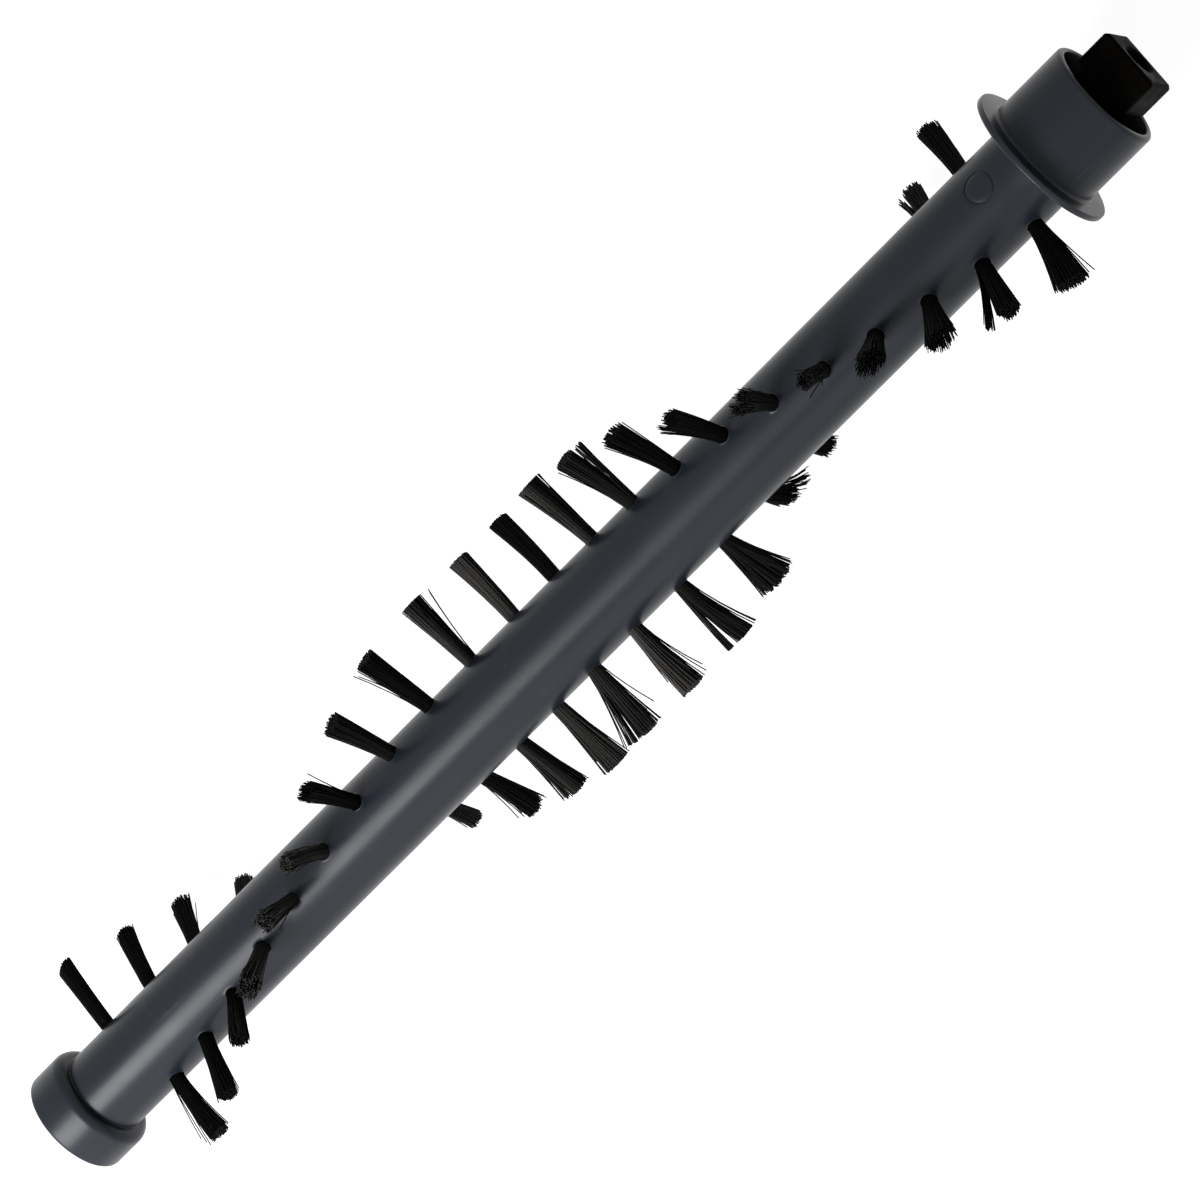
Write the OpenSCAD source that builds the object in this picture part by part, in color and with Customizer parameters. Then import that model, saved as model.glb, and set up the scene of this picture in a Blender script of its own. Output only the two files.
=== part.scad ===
// Brush roller of a power nozzle: one moulded roller with two rows of tufts laid out as a V, a sealed
// ball bearing behind the cup at each end, and a rectangular end block on a stub axle.
// +X runs along the spin axis from the pivot bore to the end block, and +Z points up from the surface
// that the roller lies on, on the flat tips of two tufts. The origin is on the spin axis, in the middle
// of the pivot bore, which is the bore of the left bearing.

/* [Roller] */
// Outside diameter of the tube
tube_d = 16; // [15.6:0.1:17.4]
// Length of the tube between the left cup and the flange
tube_len = 235.7; // [212:0.1:300]
// Outside diameter of both cups
cup_d = 20.6; // [20:0.1:23]
// Wall of both cups
cup_wall = 1.2; // [0.9:0.1:1.5]
// Radius of the rounded edge at each cup's rim
rim_r = 0.7; // [0.2:0.1:0.8]
// Length of the left cup, from its rim to the tube
left_cup_len = 8.7; // [8.2:0.1:12]
// Depth of the left cup, from its rim to the bearing
left_cup_depth = 4.8; // [4.4:0.1:5.2]
// Radius of the rounded shoulder between the left cup and the tube
shoulder_r = 1.4; // [0.4:0.1:1.4]
// Length of the drum, from the flange to the right rim
drum_len = 14.4; // [13:0.1:18]
// Depth of the right cup, from its rim to the bearing
right_cup_depth = 9.6; // [8:0.1:10]

/* [Flange] */
// Outside diameter of the flange
flange_d = 27.4; // [25:0.1:34]
// Thickness of the flange
flange_t = 1.2; // [1.1:0.1:2]
// Radius of the flange's rounded edges
flange_edge_r = 0.5; // [0.2:0.1:0.5]
// Fillet at the foot of the flange
flange_fillet = 0.6; // [0.2:0.1:1]

/* [Tufts] */
// Tufts in each row
tufts_per_row = 22; // [12:1:22]
// Distance from the tube's left end to the first tuft of row A
row_start = 13.6; // [12.6:0.1:20]
// Distance from the last tuft of row A to the flange
row_end = 6.85; // [5:0.05:20]
// How far row B sits to the left of row A
row_shift = 5.4; // [4.6:0.1:5.8]
// How many tufts further right row B reaches the point of its V
row_lag = 1; // [0:0.5:2]
// Turn from one tuft to the next around the tube, in degrees
tuft_turn = 16.2; // [15:0.1:17]
// Diameter that the tufts' tips reach
brush_d = 44; // [36:0.1:50]
// Diameter of a tuft where it leaves the tube
tuft_d = 2.7; // [2.4:0.1:3.2]
// Width of a tuft at its tip
tuft_tip_w = 4.4; // [3:0.1:5.4]
// Depth of the tuft holes, from the tube's surface
hole_depth = 6; // [5:0.1:6.2]

/* [Anchors] */
// Length of the flat anchor that holds a tuft's fold
anchor_len = 3.5; // [3.3:0.1:4]
// Height of the anchor
anchor_h = 1.5; // [1:0.1:2]
// Thickness of the anchor
anchor_t = 0.4; // [0.3:0.05:0.6]
// Bristle under the anchor, from the bottom of the tuft
anchor_lift = 0.6; // [0.4:0.1:1]

/* [Bearings] */
// Bore of a bearing
bearing_bore = 5; // [4.6:0.1:5.2]
// Outside diameter of a bearing
bearing_d = 13; // [12.6:0.1:13]
// Width of a bearing
bearing_w = 4; // [3.8:0.1:4.2]
// Diameter of a ball
ball_d = 2.2; // [2:0.1:2.2]
// Balls in a bearing
ball_count = 8; // [6:1:8]
// Depth of the races below the shoulders of the rings
race_depth = 0.35; // [0.25:0.05:0.4]
// Thickness of the cage across the balls
cage_wall = 0.7; // [0.5:0.05:0.8]
// Cage left on each side of a ball
cage_rim = 0.23; // [0.15:0.01:0.25]
// Thickness of a shield
shield_t = 0.2; // [0.1:0.05:0.2]
// Distance from a ring's side to its shield
shield_inset = 0.15; // [0.05:0.05:0.15]
// Chamfer of the rings' edges
ring_chamfer = 0.2; // [0.1:0.05:0.3]

/* [End block] */
// Width of the end block across its short sides
block_w = 11.8; // [11:0.1:13]
// Height of the end block across its long flats
block_h = 8.8; // [8:0.1:10]
// Length of the end block
block_len = 6.7; // [5.5:0.1:12]
// Gap between the right rim and the end block
block_gap = 0.9; // [0.5:0.1:3]
// Turn of the end block about the spin axis, in degrees
block_turn = -12.5; // [-180:0.5:180]
// Radius of the block's long edges
block_edge_r = 0.5; // [0.2:0.1:1]
// Chamfer at the outer end of the block
block_chamfer = 0.5; // [0.2:0.1:1]
// Diameter of the round collar behind the block
collar_d = 11; // [10:0.1:12]
// How far the collar reaches past the start of the block
collar_lap = 0.8; // [0.3:0.1:2]
// Diameter of the hub that bears on the inner ring
hub_d = 6.6; // [6:0.1:7]
// Length of the hub
hub_len = 1.7; // [1:0.1:2.5]
// Depth of the round recess in the block's end
recess_depth = 3; // [1:0.1:4]
// Diameter of the round recess in the block's end
recess_d = 5.2; // [5:0.1:6]
// Chamfer at the mouth of the recess
recess_chamfer = 0.5; // [0.2:0.1:0.8]
// How far the stub axle passes the bearing
axle_tail = 0.6; // [0.3:0.1:0.8]
// Chamfer at the ends of the stub axle
axle_chamfer = 0.3; // [0.1:0.1:0.5]

/* [Clearances] */
// Radial gap of pressed pieces
press_gap = 0.01; // [0.005:0.005:0.02]
// Radial gap between a tuft and its hole
hole_gap = 0.05; // [0.02:0.01:0.1]
// Gap around an anchor in its slot
anchor_gap = 0.03; // [0.02:0.01:0.05]
// Gap between a ball and its races and pocket
ball_gap = 0.12; // [0.08:0.01:0.15]
// Gap between a shield and the inner ring
shield_gap = 0.15; // [0.1:0.05:0.2]

/* [Hidden] */
ROWS = ["a", "b"];
function tuft_name(row, i) = str("tuft_", row, i < 10 ? "0" : "", i);
BEARING_PIECES = ["outer_ring", "inner_ring", "balls", "cage", "shield_1", "shield_2"];
$fn = 48;

body_grey = "#3e4650";
bristle_black = "#16171a";
block_black = "#1c1a18";
steel = "#b9bcc0";

// How far a cutting shape runs past the surface that it cuts
past = 0.5;

half_w = bearing_w / 2;
tube_r = tube_d / 2;
cup_r = cup_d / 2;
cup_bore_r = cup_r - cup_wall;
flange_r = flange_d / 2;
left_seat_x = -half_w;
left_rim_x = left_seat_x - left_cup_depth;
tube_x = left_rim_x + left_cup_len;
flange_x = tube_x + tube_len;
drum_x = flange_x + flange_t;
right_rim_x = drum_x + drum_len;
right_seat_x = right_rim_x - right_cup_depth;
right_bearing_x = right_seat_x - half_w;

bearing_r = bearing_d / 2;
bore_r = bearing_bore / 2;
seat_r = bearing_r + press_gap;
ball_r = ball_d / 2;
race_r = ball_r + ball_gap;
pitch_r = (bearing_r + bore_r) / 2;
inner_shoulder_r = pitch_r - race_r + race_depth;
outer_shoulder_r = pitch_r + race_r - race_depth;
shield_lip = 0.3;
shield_r = outer_shoulder_r + shield_lip;
shield_step = shield_inset + shield_t;
// Room behind each bearing, so that only its outer ring touches the roller
relief_r = outer_shoulder_r;
relief_depth = 1;
// Room for the tip of the nozzle's pin behind the left bearing
pin_room_r = bore_r + 0.7;
pin_room_depth = 5;
cup_fillet = 0.5;

axle_r = bore_r - press_gap;
axle_x = right_bearing_x - half_w - axle_tail;
block_x = right_rim_x + block_gap;
block_end_x = block_x + block_len;
axle_end_x = block_end_x - recess_depth;

// The roller lies on the two tufts this many steps of the V from its point
rest_step = 6.5;
point_angle = 90 - rest_step * tuft_turn;
row_middle = (tufts_per_row + 1) / 2;
tuft_pitch = (tube_len - row_start - row_end) / (tufts_per_row - 1);
hole_r = tuft_d / 2 + hole_gap;
hole_floor_r = tube_r - hole_depth;
tuft_foot_r = hole_floor_r + hole_gap;
brush_r = brush_d / 2;
anchor_foot_r = tuft_foot_r + anchor_lift;

// Worn tufts: row, number, and how much shorter and how far bent towards +X their tips are
WORN = [["a", 17, 1, 0.4], ["a", 18, 2.4, 0], ["b", 16, 3.5, 2], ["b", 17, 4.5, 0.5]];

// Plain round mark on the tube, beside the flange
mark_d = 5.2;
mark_line = 0.35;
mark_depth = 0.12;
mark_back = 8.2;
mark_angle = 67;

// A shape turned about the spin axis: x of the outline is the radius, y runs along +X
module turned() {
    rotate([0, 90, 0]) rotate_extrude() children();
}

// The outline of a turned band between two radii and two places along the axis
module band(r1, r2, x1, x2) {
    translate([r1, x1]) square([r2 - r1, x2 - x1]);
}

// The web between a corner and the arc of a radius that touches both of its sides.
// It is cut from an outer edge to round it, or added to an inner corner as a fillet.
module web(corner, toward, radius) {
    overlap = 0.02;
    difference() {
        translate(corner + [toward.x > 0 ? -overlap : -radius, toward.y > 0 ? -overlap : -radius])
            square(radius + overlap);
        translate(corner + toward * radius) circle(radius);
    }
}

function tuft_x(row, i) = tube_x + row_start + (i - 1) * tuft_pitch - (row == "b" ? row_shift : 0);
function tuft_angle(row, i) =
    row == "a"
        ? point_angle + tuft_turn * abs(i - row_middle)
        : point_angle + tuft_turn * abs(i - row_middle - row_lag) + 180;

// Stands a shape that points along +Z in the hole of a tuft
module at_tuft(row, i) {
    translate([tuft_x(row, i), 0, 0]) rotate([tuft_angle(row, i) - 90, 0, 0]) children();
}

// Roller body
module roller_outline() {
    difference() {
        union() {
            polygon([
                [0, left_rim_x], [cup_r, left_rim_x], [cup_r, tube_x], [tube_r, tube_x],
                [tube_r, flange_x], [flange_r, flange_x], [flange_r, drum_x], [cup_r, drum_x],
                [cup_r, right_rim_x], [0, right_rim_x]]);
            web([tube_r, flange_x], [1, -1], flange_fillet);
            web([cup_r, drum_x], [1, 1], flange_fillet);
        }
        web([cup_r, left_rim_x], [-1, 1], rim_r);
        web([cup_r, right_rim_x], [-1, -1], rim_r);
        web([cup_r, tube_x], [-1, -1], shoulder_r);
        web([flange_r, flange_x], [-1, 1], flange_edge_r);
        web([flange_r, drum_x], [-1, -1], flange_edge_r);
    }
}

module roller_hollows() {
    // Left cup, bearing seat, relief and room for the pin
    difference() {
        band(0, cup_bore_r, left_rim_x - past, left_seat_x);
        web([cup_bore_r, left_seat_x], [-1, -1], cup_fillet);
    }
    band(0, seat_r, left_seat_x - past, left_seat_x + bearing_w);
    band(0, relief_r, 0, left_seat_x + bearing_w + relief_depth);
    band(0, pin_room_r, 0, left_seat_x + bearing_w + pin_room_depth);
    // Right cup, bearing seat and relief
    difference() {
        band(0, cup_bore_r, right_seat_x, right_rim_x + past);
        web([cup_bore_r, right_seat_x], [-1, 1], cup_fillet);
    }
    band(0, seat_r, right_seat_x - bearing_w, right_seat_x + past);
    band(0, relief_r, right_seat_x - bearing_w - relief_depth, right_seat_x);
}

module tuft_hole() {
    translate([0, 0, hole_floor_r]) cylinder(r = hole_r, h = hole_depth + past);
}

module anchor_block(gap) {
    size = [anchor_len, anchor_t, anchor_h] + 2 * gap * [1, 1, 1];
    translate([-size.x / 2, -size.y / 2, anchor_foot_r - gap]) cube(size);
}

module round_mark() {
    translate([flange_x - mark_back, 0, 0]) rotate([mark_angle - 90, 0, 0])
        difference() {
            cylinder(d = mark_d, h = tube_r + past);
            cylinder(d = mark_d - 2 * mark_line, h = tube_r + 2 * past);
            translate([-mark_d, 0, 0]) rotate([0, 90, 0])
                cylinder(r = tube_r - mark_depth, h = 2 * mark_d);
        }
}

module roller_body() {
    color(body_grey)
        difference() {
            turned() roller_outline();
            turned() roller_hollows();
            for (row = ROWS, i = [1:tufts_per_row]) at_tuft(row, i) {
                tuft_hole();
                anchor_block(anchor_gap);
            }
            round_mark();
        }
}

// Tufts
TUFT_SIDES = 16;
// Places of the rings above the tube, as shares of the free length
TUFT_RINGS = [0.1, 0.45, 0.8, 1];
// Depth of the flutes between bristles, as a share of the radius, in the hole and above the tube
FOOT_FLUTE = 0.05;
TUFT_FLUTE = 0.14;
// How unevenly the bristles end, and how far a tuft may lean at its tip
TUFT_RAGGED = 0.9;
TUFT_LEAN = 0.35;
function jitter(row, i, k) = rands(-1, 1, 1, 1000 * i + 20 * k + (row == "a" ? 1 : 2))[0];
function worn(row, i) = [for (w = WORN) if (w[0] == row && w[1] == i) w];
function short_by(row, i) = let (w = worn(row, i)) len(w) > 0 ? w[0][2] : 0;
function bent_by(row, i) = let (w = worn(row, i)) len(w) > 0 ? w[0][3] : 0;

// One ring of a tuft: a fluted circle, with the ends of the bristles uneven by ragged
function tuft_ring(row, i, z, width, shift, flute, ragged) = [
    for (k = [0:TUFT_SIDES - 1])
        let (a = 360 * k / TUFT_SIDES, r = width / 2 * (k % 2 == 0 ? 1 : 1 - flute))
        [shift.x + r * cos(a), shift.y + r * sin(a), z - ragged * abs(jitter(row, i, k + 3))]];

function ring_faces(rings) = [
    for (j = [0:rings - 2], k = [0:TUFT_SIDES - 1])
        let (a = j * TUFT_SIDES + k, b = j * TUFT_SIDES + (k + 1) % TUFT_SIDES)
        each [[a, a + TUFT_SIDES, b], [b, a + TUFT_SIDES, b + TUFT_SIDES]]];

module tuft(row, i) {
    tip_r = brush_r - short_by(row, i);
    lean = [TUFT_LEAN * jitter(row, i, 1) + bent_by(row, i), TUFT_LEAN * jitter(row, i, 2)];
    free_len = tip_r - tube_r;
    points = concat(
        tuft_ring(row, i, tuft_foot_r, tuft_d, [0, 0], FOOT_FLUTE, 0),
        tuft_ring(row, i, tube_r, tuft_d, [0, 0], FOOT_FLUTE, 0),
        [for (t = TUFT_RINGS)
            each tuft_ring(row, i, tube_r + t * free_len, tuft_d + t * (tuft_tip_w - tuft_d),
                lean * t * t, TUFT_FLUTE, t == 1 ? TUFT_RAGGED : 0)],
        [[lean.x, lean.y, tip_r - TUFT_RAGGED / 2]]);
    rings = len(TUFT_RINGS) + 2;
    last = (rings - 1) * TUFT_SIDES;
    faces = concat(
        [[for (k = [0:TUFT_SIDES - 1]) k]],
        ring_faces(rings),
        [for (k = [0:TUFT_SIDES - 1]) [last + (k + 1) % TUFT_SIDES, last + k, rings * TUFT_SIDES]]);
    color(bristle_black)
        at_tuft(row, i)
            difference() {
                polyhedron(points, faces);
                anchor_block(anchor_gap);
            }
}

module tuft_anchors() {
    color(steel)
        for (row = ROWS, i = [1:tufts_per_row]) at_tuft(row, i) anchor_block(0);
}

// Bearings, drawn with their middle at x = 0
module outer_ring() {
    color(steel) turned() difference() {
        band(outer_shoulder_r, bearing_r, -half_w, half_w);
        translate([pitch_r, 0]) circle(race_r);
        for (side = [-1, 1]) {
            translate([0, side * (half_w + past - shield_step / 2)])
                square([2 * (shield_r + press_gap), shield_step + 2 * past], center = true);
            ring_edge(bearing_r, side * half_w, [-1, -side]);
        }
    }
}

module inner_ring() {
    color(steel) turned() difference() {
        band(bore_r, inner_shoulder_r, -half_w, half_w);
        translate([pitch_r, 0]) circle(race_r);
        for (side = [-1, 1]) ring_edge(bore_r, side * half_w, [1, -side]);
    }
}

// The triangle cut from a ring's edge, from a corner towards the inside of the ring's section
module ring_edge(r, x, toward) {
    reach = ring_chamfer;
    translate([r, x]) polygon([
        [-toward.x * reach, -toward.y * reach], [toward.x * 2 * reach, -toward.y * reach],
        [-toward.x * reach, toward.y * 2 * reach]]);
}

module ball_at(k, r) {
    rotate([360 * k / ball_count, 0, 0]) translate([0, 0, pitch_r]) sphere(r);
}

module balls() {
    color(steel) for (k = [0:ball_count - 1]) ball_at(k, ball_r);
}

module cage() {
    half = race_r + cage_rim;
    color(steel) difference() {
        turned() band(pitch_r - cage_wall / 2, pitch_r + cage_wall / 2, -half, half);
        for (k = [0:ball_count - 1]) ball_at(k, race_r);
    }
}

module shield(side) {
    x = side * (half_w - shield_inset - shield_t / 2);
    color(steel) turned()
        band(inner_shoulder_r + shield_gap, shield_r, x - shield_t / 2, x + shield_t / 2);
}

module bearing_piece(piece, x) {
    translate([x, 0, 0]) {
        if (piece == "outer_ring") outer_ring();
        if (piece == "inner_ring") inner_ring();
        if (piece == "balls") balls();
        if (piece == "cage") cage();
        if (piece == "shield_1") shield(-1);
        if (piece == "shield_2") shield(1);
    }
}

// End block
module block_section() {
    half = [block_w, block_h] / 2;
    difference() {
        translate(-half) square(2 * half);
        for (sx = [-1, 1], sy = [-1, 1])
            web([sx * half.x, sy * half.y], [-sx, -sy], block_edge_r);
    }
}

// The block seen from one side, with its two chamfers at the outer end
module block_side(width) {
    half = width / 2;
    polygon([
        [block_x, -half], [block_end_x - block_chamfer, -half], [block_end_x, block_chamfer - half],
        [block_end_x, half - block_chamfer], [block_end_x - block_chamfer, half], [block_x, half]]);
}

module block_prism() {
    intersection() {
        translate([block_x, 0, 0]) rotate([90, 0, 90]) linear_extrude(block_len) block_section();
        linear_extrude(2 * block_h, center = true) block_side(block_w);
        rotate([90, 0, 0]) linear_extrude(2 * block_w, center = true) block_side(block_h);
    }
}

module end_block() {
    color(block_black) rotate([block_turn, 0, 0]) difference() {
        union() {
            block_prism();
            turned() band(0, collar_d / 2, right_seat_x + hub_len, block_x + collar_lap);
            turned() band(0, hub_d / 2, right_seat_x, right_seat_x + hub_len + past);
        }
        turned() band(0, axle_r + press_gap, right_seat_x - past, axle_end_x + past);
        turned() {
            band(0, recess_d / 2, axle_end_x, block_end_x + past);
            polygon([
                [0, block_end_x - recess_chamfer], [recess_d / 2, block_end_x - recess_chamfer],
                [recess_d / 2 + recess_chamfer + past, block_end_x + past], [0, block_end_x + past]]);
        }
    }
}

module stub_axle() {
    color(steel) turned() polygon([
        [0, axle_x], [axle_r - axle_chamfer, axle_x], [axle_r, axle_x + axle_chamfer],
        [axle_r, axle_end_x - axle_chamfer], [axle_r - axle_chamfer, axle_end_x], [0, axle_end_x]]);
}

roller_body();
for (row = ROWS, i = [1:tufts_per_row])
    tuft(row, i);
tuft_anchors();
end_block();
stub_axle();
for (piece = BEARING_PIECES) {
    bearing_piece(piece, 0);
    bearing_piece(piece, right_bearing_x);
}
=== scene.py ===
"""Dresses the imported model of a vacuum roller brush: the moulded roller with its holes and cups, the
bristles of both rows, the two ball bearings and the end block, on a pale floor under soft light."""

import logging
import math
from collections.abc import Iterable, Sequence
from dataclasses import dataclass, field
from enum import Enum

import bpy
from mathutils import Matrix, Vector


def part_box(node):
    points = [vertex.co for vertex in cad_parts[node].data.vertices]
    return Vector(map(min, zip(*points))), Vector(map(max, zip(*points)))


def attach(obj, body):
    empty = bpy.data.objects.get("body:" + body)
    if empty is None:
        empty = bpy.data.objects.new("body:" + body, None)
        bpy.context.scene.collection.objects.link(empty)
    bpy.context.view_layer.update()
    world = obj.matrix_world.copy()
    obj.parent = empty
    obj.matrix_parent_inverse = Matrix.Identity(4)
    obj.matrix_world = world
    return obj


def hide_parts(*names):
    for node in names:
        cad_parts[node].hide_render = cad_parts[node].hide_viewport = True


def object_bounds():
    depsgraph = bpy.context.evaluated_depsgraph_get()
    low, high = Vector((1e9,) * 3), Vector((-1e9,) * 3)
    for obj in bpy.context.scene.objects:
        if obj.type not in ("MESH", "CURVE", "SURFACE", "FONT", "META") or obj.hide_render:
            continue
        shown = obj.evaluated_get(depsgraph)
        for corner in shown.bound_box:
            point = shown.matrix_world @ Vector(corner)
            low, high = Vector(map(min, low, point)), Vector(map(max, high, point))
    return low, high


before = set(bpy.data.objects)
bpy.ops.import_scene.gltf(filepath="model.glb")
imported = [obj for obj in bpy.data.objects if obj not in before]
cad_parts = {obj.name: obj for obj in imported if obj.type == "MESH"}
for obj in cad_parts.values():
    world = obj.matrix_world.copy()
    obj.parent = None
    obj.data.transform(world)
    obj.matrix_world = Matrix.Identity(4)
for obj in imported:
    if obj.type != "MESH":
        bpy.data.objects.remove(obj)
CAD_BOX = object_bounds()

LOG = logging.getLogger("roller_brush")
MM = 0.001
TURN = 2 * math.pi

Socket = bpy.types.NodeSocket
Value = Socket | float | tuple | int | bool | str
Point = tuple[float, float]


class Body(Enum):
    """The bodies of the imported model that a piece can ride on."""

    ROLLER = "roller"
    END_AXLE = "end_axle"
    RIGHT_BALLS = "right_ball_set"
    LEFT_INNER = "left_inner"
    LEFT_BALLS = "left_ball_set"


class Row(Enum):
    """The two rows of tufts, with the side of the roller that each starts from, in degrees."""

    A = 0.0
    B = 180.0

    @property
    def letter(self) -> str:
        """The row's letter as the CAD nodes write it."""
        return self.name.lower()


class Side(Enum):
    """The two ends of the roller, each with its bearing."""

    LEFT = "left"
    RIGHT = "right"


# ---------------------------------------------------------------------------------------------
# Node trees and materials
# ---------------------------------------------------------------------------------------------


class TreeBuilder:
    """Adds nodes to one tree, with each input given as a socket or as a plain value."""

    def __init__(self, tree: bpy.types.NodeTree) -> None:
        """Takes the tree to build in.

        Args:
            tree: A material's, the world's or a Geometry Nodes tree.
        """
        self.tree = tree

    def feed(self, socket: Socket, value: Value) -> None:
        """Joins a socket to another one, or sets its value.

        Args:
            socket: The input to fill.
            value: The output to join it to, or a plain value.
        """
        if isinstance(value, bpy.types.NodeSocket):
            self.tree.links.new(value, socket)
        else:
            socket.default_value = value

    def node(self, kind: str, inputs: dict | None = None, **settings: object) -> bpy.types.Node:
        """Adds a node.

        Args:
            kind: The node's type name.
            inputs: Values or sockets by input name or number.
            **settings: The node's own settings.

        Returns:
            The new node.
        """
        made = self.tree.nodes.new(kind)
        for name, setting in settings.items():
            setattr(made, name, setting)
        for key, value in (inputs or {}).items():
            self.feed(made.inputs[key], value)
        return made

    def math(self, operation: str, *values: Value) -> Socket:
        """Adds a Math node and returns its result.

        Args:
            operation: The operation's name.
            *values: One to three values or sockets.

        Returns:
            The result socket.
        """
        return self.node("ShaderNodeMath", dict(enumerate(values)), operation=operation).outputs[0]

    def vector(self, operation: str, *values: Value) -> Socket:
        """Adds a Vector Math node and returns its vector.

        Args:
            operation: The operation's name.
            *values: Vectors or sockets; for SCALE the second is the factor.

        Returns:
            The vector socket.
        """
        made = self.node("ShaderNodeVectorMath", {0: values[0]}, operation=operation)
        for place, value in enumerate(values[1:], start=1):
            self.feed(made.inputs["Scale" if operation == "SCALE" else place], value)
        return made.outputs[0]

    def combine(self, x: Value, y: Value, z: Value) -> Socket:
        """Returns the vector of three values."""
        return self.node("ShaderNodeCombineXYZ", {0: x, 1: y, 2: z}).outputs[0]

    def separate(self, vector: Socket) -> tuple[Socket, Socket, Socket]:
        """Returns the three components of a vector."""
        made = self.node("ShaderNodeSeparateXYZ", {0: vector})
        return made.outputs[0], made.outputs[1], made.outputs[2]

    def noise(self, vector: Socket, scale: float, detail: float = 3.0, roughness: float = 0.55) -> bpy.types.Node:
        """Adds a noise texture.

        Args:
            vector: The coordinates to read.
            scale: Waves per metre.
            detail: Number of finer layers.
            roughness: Strength of the finer layers.

        Returns:
            The node, with its value in Fac and its vector in Color.
        """
        return self.node("ShaderNodeTexNoise",
                         {"Vector": vector, "Scale": scale, "Detail": detail, "Roughness": roughness})

    def span(self, value: Socket, low: float, high: float, to_low: float = 0.0, to_high: float = 1.0) -> Socket:
        """Maps a value from one range to another with soft ends.

        Args:
            value: The value to map.
            low: Where the range starts.
            high: Where the range ends.
            to_low: Result at the start.
            to_high: Result at the end.

        Returns:
            The mapped value.
        """
        made = self.node("ShaderNodeMapRange", {"Value": value, "From Min": low, "From Max": high,
                                                "To Min": to_low, "To Max": to_high},
                         interpolation_type="SMOOTHSTEP")
        return made.outputs[0]

    def blend(self, factor: Value, first: Value, second: Value) -> Socket:
        """Mixes two colours.

        Args:
            factor: Share of the second colour.
            first: Colour at 0.
            second: Colour at 1.

        Returns:
            The mixed colour.
        """
        made = self.node("ShaderNodeMix", data_type="RGBA")
        self.feed(made.inputs["Factor"], factor)
        self.feed(made.inputs["A_Color" if "A_Color" in made.inputs else 6], first)
        self.feed(made.inputs["B_Color" if "B_Color" in made.inputs else 7], second)
        return made.outputs[2]


def linear(red: float, green: float, blue: float) -> tuple[float, float, float, float]:
    """Turns a colour as seen on a screen, 0 to 255, into the linear colour that nodes take.

    Args:
        red: Red, 0 to 255.
        green: Green, 0 to 255.
        blue: Blue, 0 to 255.

    Returns:
        The linear colour with full alpha.
    """
    def channel(value: float) -> float:
        """Returns one channel in linear light."""
        share = value / 255
        return share / 12.92 if share <= 0.04045 else ((share + 0.055) / 1.055) ** 2.4

    return channel(red), channel(green), channel(blue), 1.0


@dataclass(frozen=True)
class Finish:
    """What every finish has: a name, the record's material slot and the shader's plain values."""

    name: str
    slot: str
    roughness: float = 0.5
    metallic: float = 0.0
    specular: float = 0.5

    def start(self) -> tuple[bpy.types.Material, TreeBuilder, bpy.types.Node, Socket]:
        """Makes an empty material with this finish's plain values.

        Returns:
            The material, its tree, its shader node and the object coordinates.
        """
        material = bpy.data.materials.new(self.name)
        material.use_nodes = True
        tree = TreeBuilder(material.node_tree)
        shader = material.node_tree.nodes["Principled BSDF"]
        shader.inputs["Metallic"].default_value = self.metallic
        shader.inputs["Specular IOR Level"].default_value = self.specular
        shader.inputs["Roughness"].default_value = self.roughness
        return material, tree, shader, tree.node("ShaderNodeTexCoord").outputs["Object"]

    def material(self) -> bpy.types.Material:
        """Builds the material; each finish has its own way."""
        raise NotImplementedError


@dataclass(frozen=True)
class MouldedPlastic(Finish):
    """Satin moulded plastic with mottling, faint lengthwise scuffs and specks of dust."""

    colour: tuple[float, float, float, float] = (0.05, 0.06, 0.07, 1.0)
    worn: tuple[float, float, float, float] = (0.1, 0.11, 0.12, 1.0)
    scuffs: float = 0.5

    def material(self) -> bpy.types.Material:
        """Returns the material, built on object coordinates.

        Returns:
            The finished material.
        """
        material, tree, shader, place = self.start()
        mottle = tree.noise(place, 55.0, 4.0).outputs["Fac"]
        grain = tree.noise(place, 5200.0, 2.0).outputs["Fac"]
        stretched = tree.vector("MULTIPLY", place, (60.0, 900.0, 900.0))
        streaks = tree.span(tree.noise(stretched, 1.0, 5.0, 0.65).outputs["Fac"], 0.60, 0.78)
        patches = tree.span(tree.noise(place, 38.0, 2.0).outputs["Fac"], 0.42, 0.62)
        scuffed = tree.math("MULTIPLY", tree.math("MULTIPLY", streaks, patches), self.scuffs)
        cells = tree.node("ShaderNodeTexVoronoi", {"Vector": place, "Scale": 420.0}).outputs["Distance"]
        dust = tree.math("MULTIPLY", tree.span(cells, 0.075, 0.045),
                         tree.span(tree.noise(place, 160.0, 1.0).outputs["Fac"], 0.55, 0.66))
        colour = tree.blend(tree.span(mottle, 0.3, 0.7, 0.0, 0.35), self.colour,
                            tuple(0.86 * c for c in self.colour[:3]) + (1.0,))
        colour = tree.blend(scuffed, colour, self.worn)
        colour = tree.blend(tree.math("MULTIPLY", dust, 0.12), colour, linear(150, 148, 142))
        tree.feed(shader.inputs["Base Color"], colour)
        rough = tree.math("ADD", tree.span(mottle, 0.25, 0.75, self.roughness - 0.05, self.roughness + 0.05),
                          tree.math("MULTIPLY", scuffed, 0.12))
        tree.feed(shader.inputs["Roughness"], rough)
        height = tree.math("ADD", tree.math("MULTIPLY", grain, 0.35), tree.math("MULTIPLY", mottle, 0.8))
        height = tree.math("SUBTRACT", height, tree.math("MULTIPLY", streaks, 0.25))
        bump = tree.node("ShaderNodeBump", {"Strength": 0.12, "Distance": 0.00012, "Height": height})
        tree.feed(shader.inputs["Normal"], bump.outputs[0])
        return material


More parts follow.
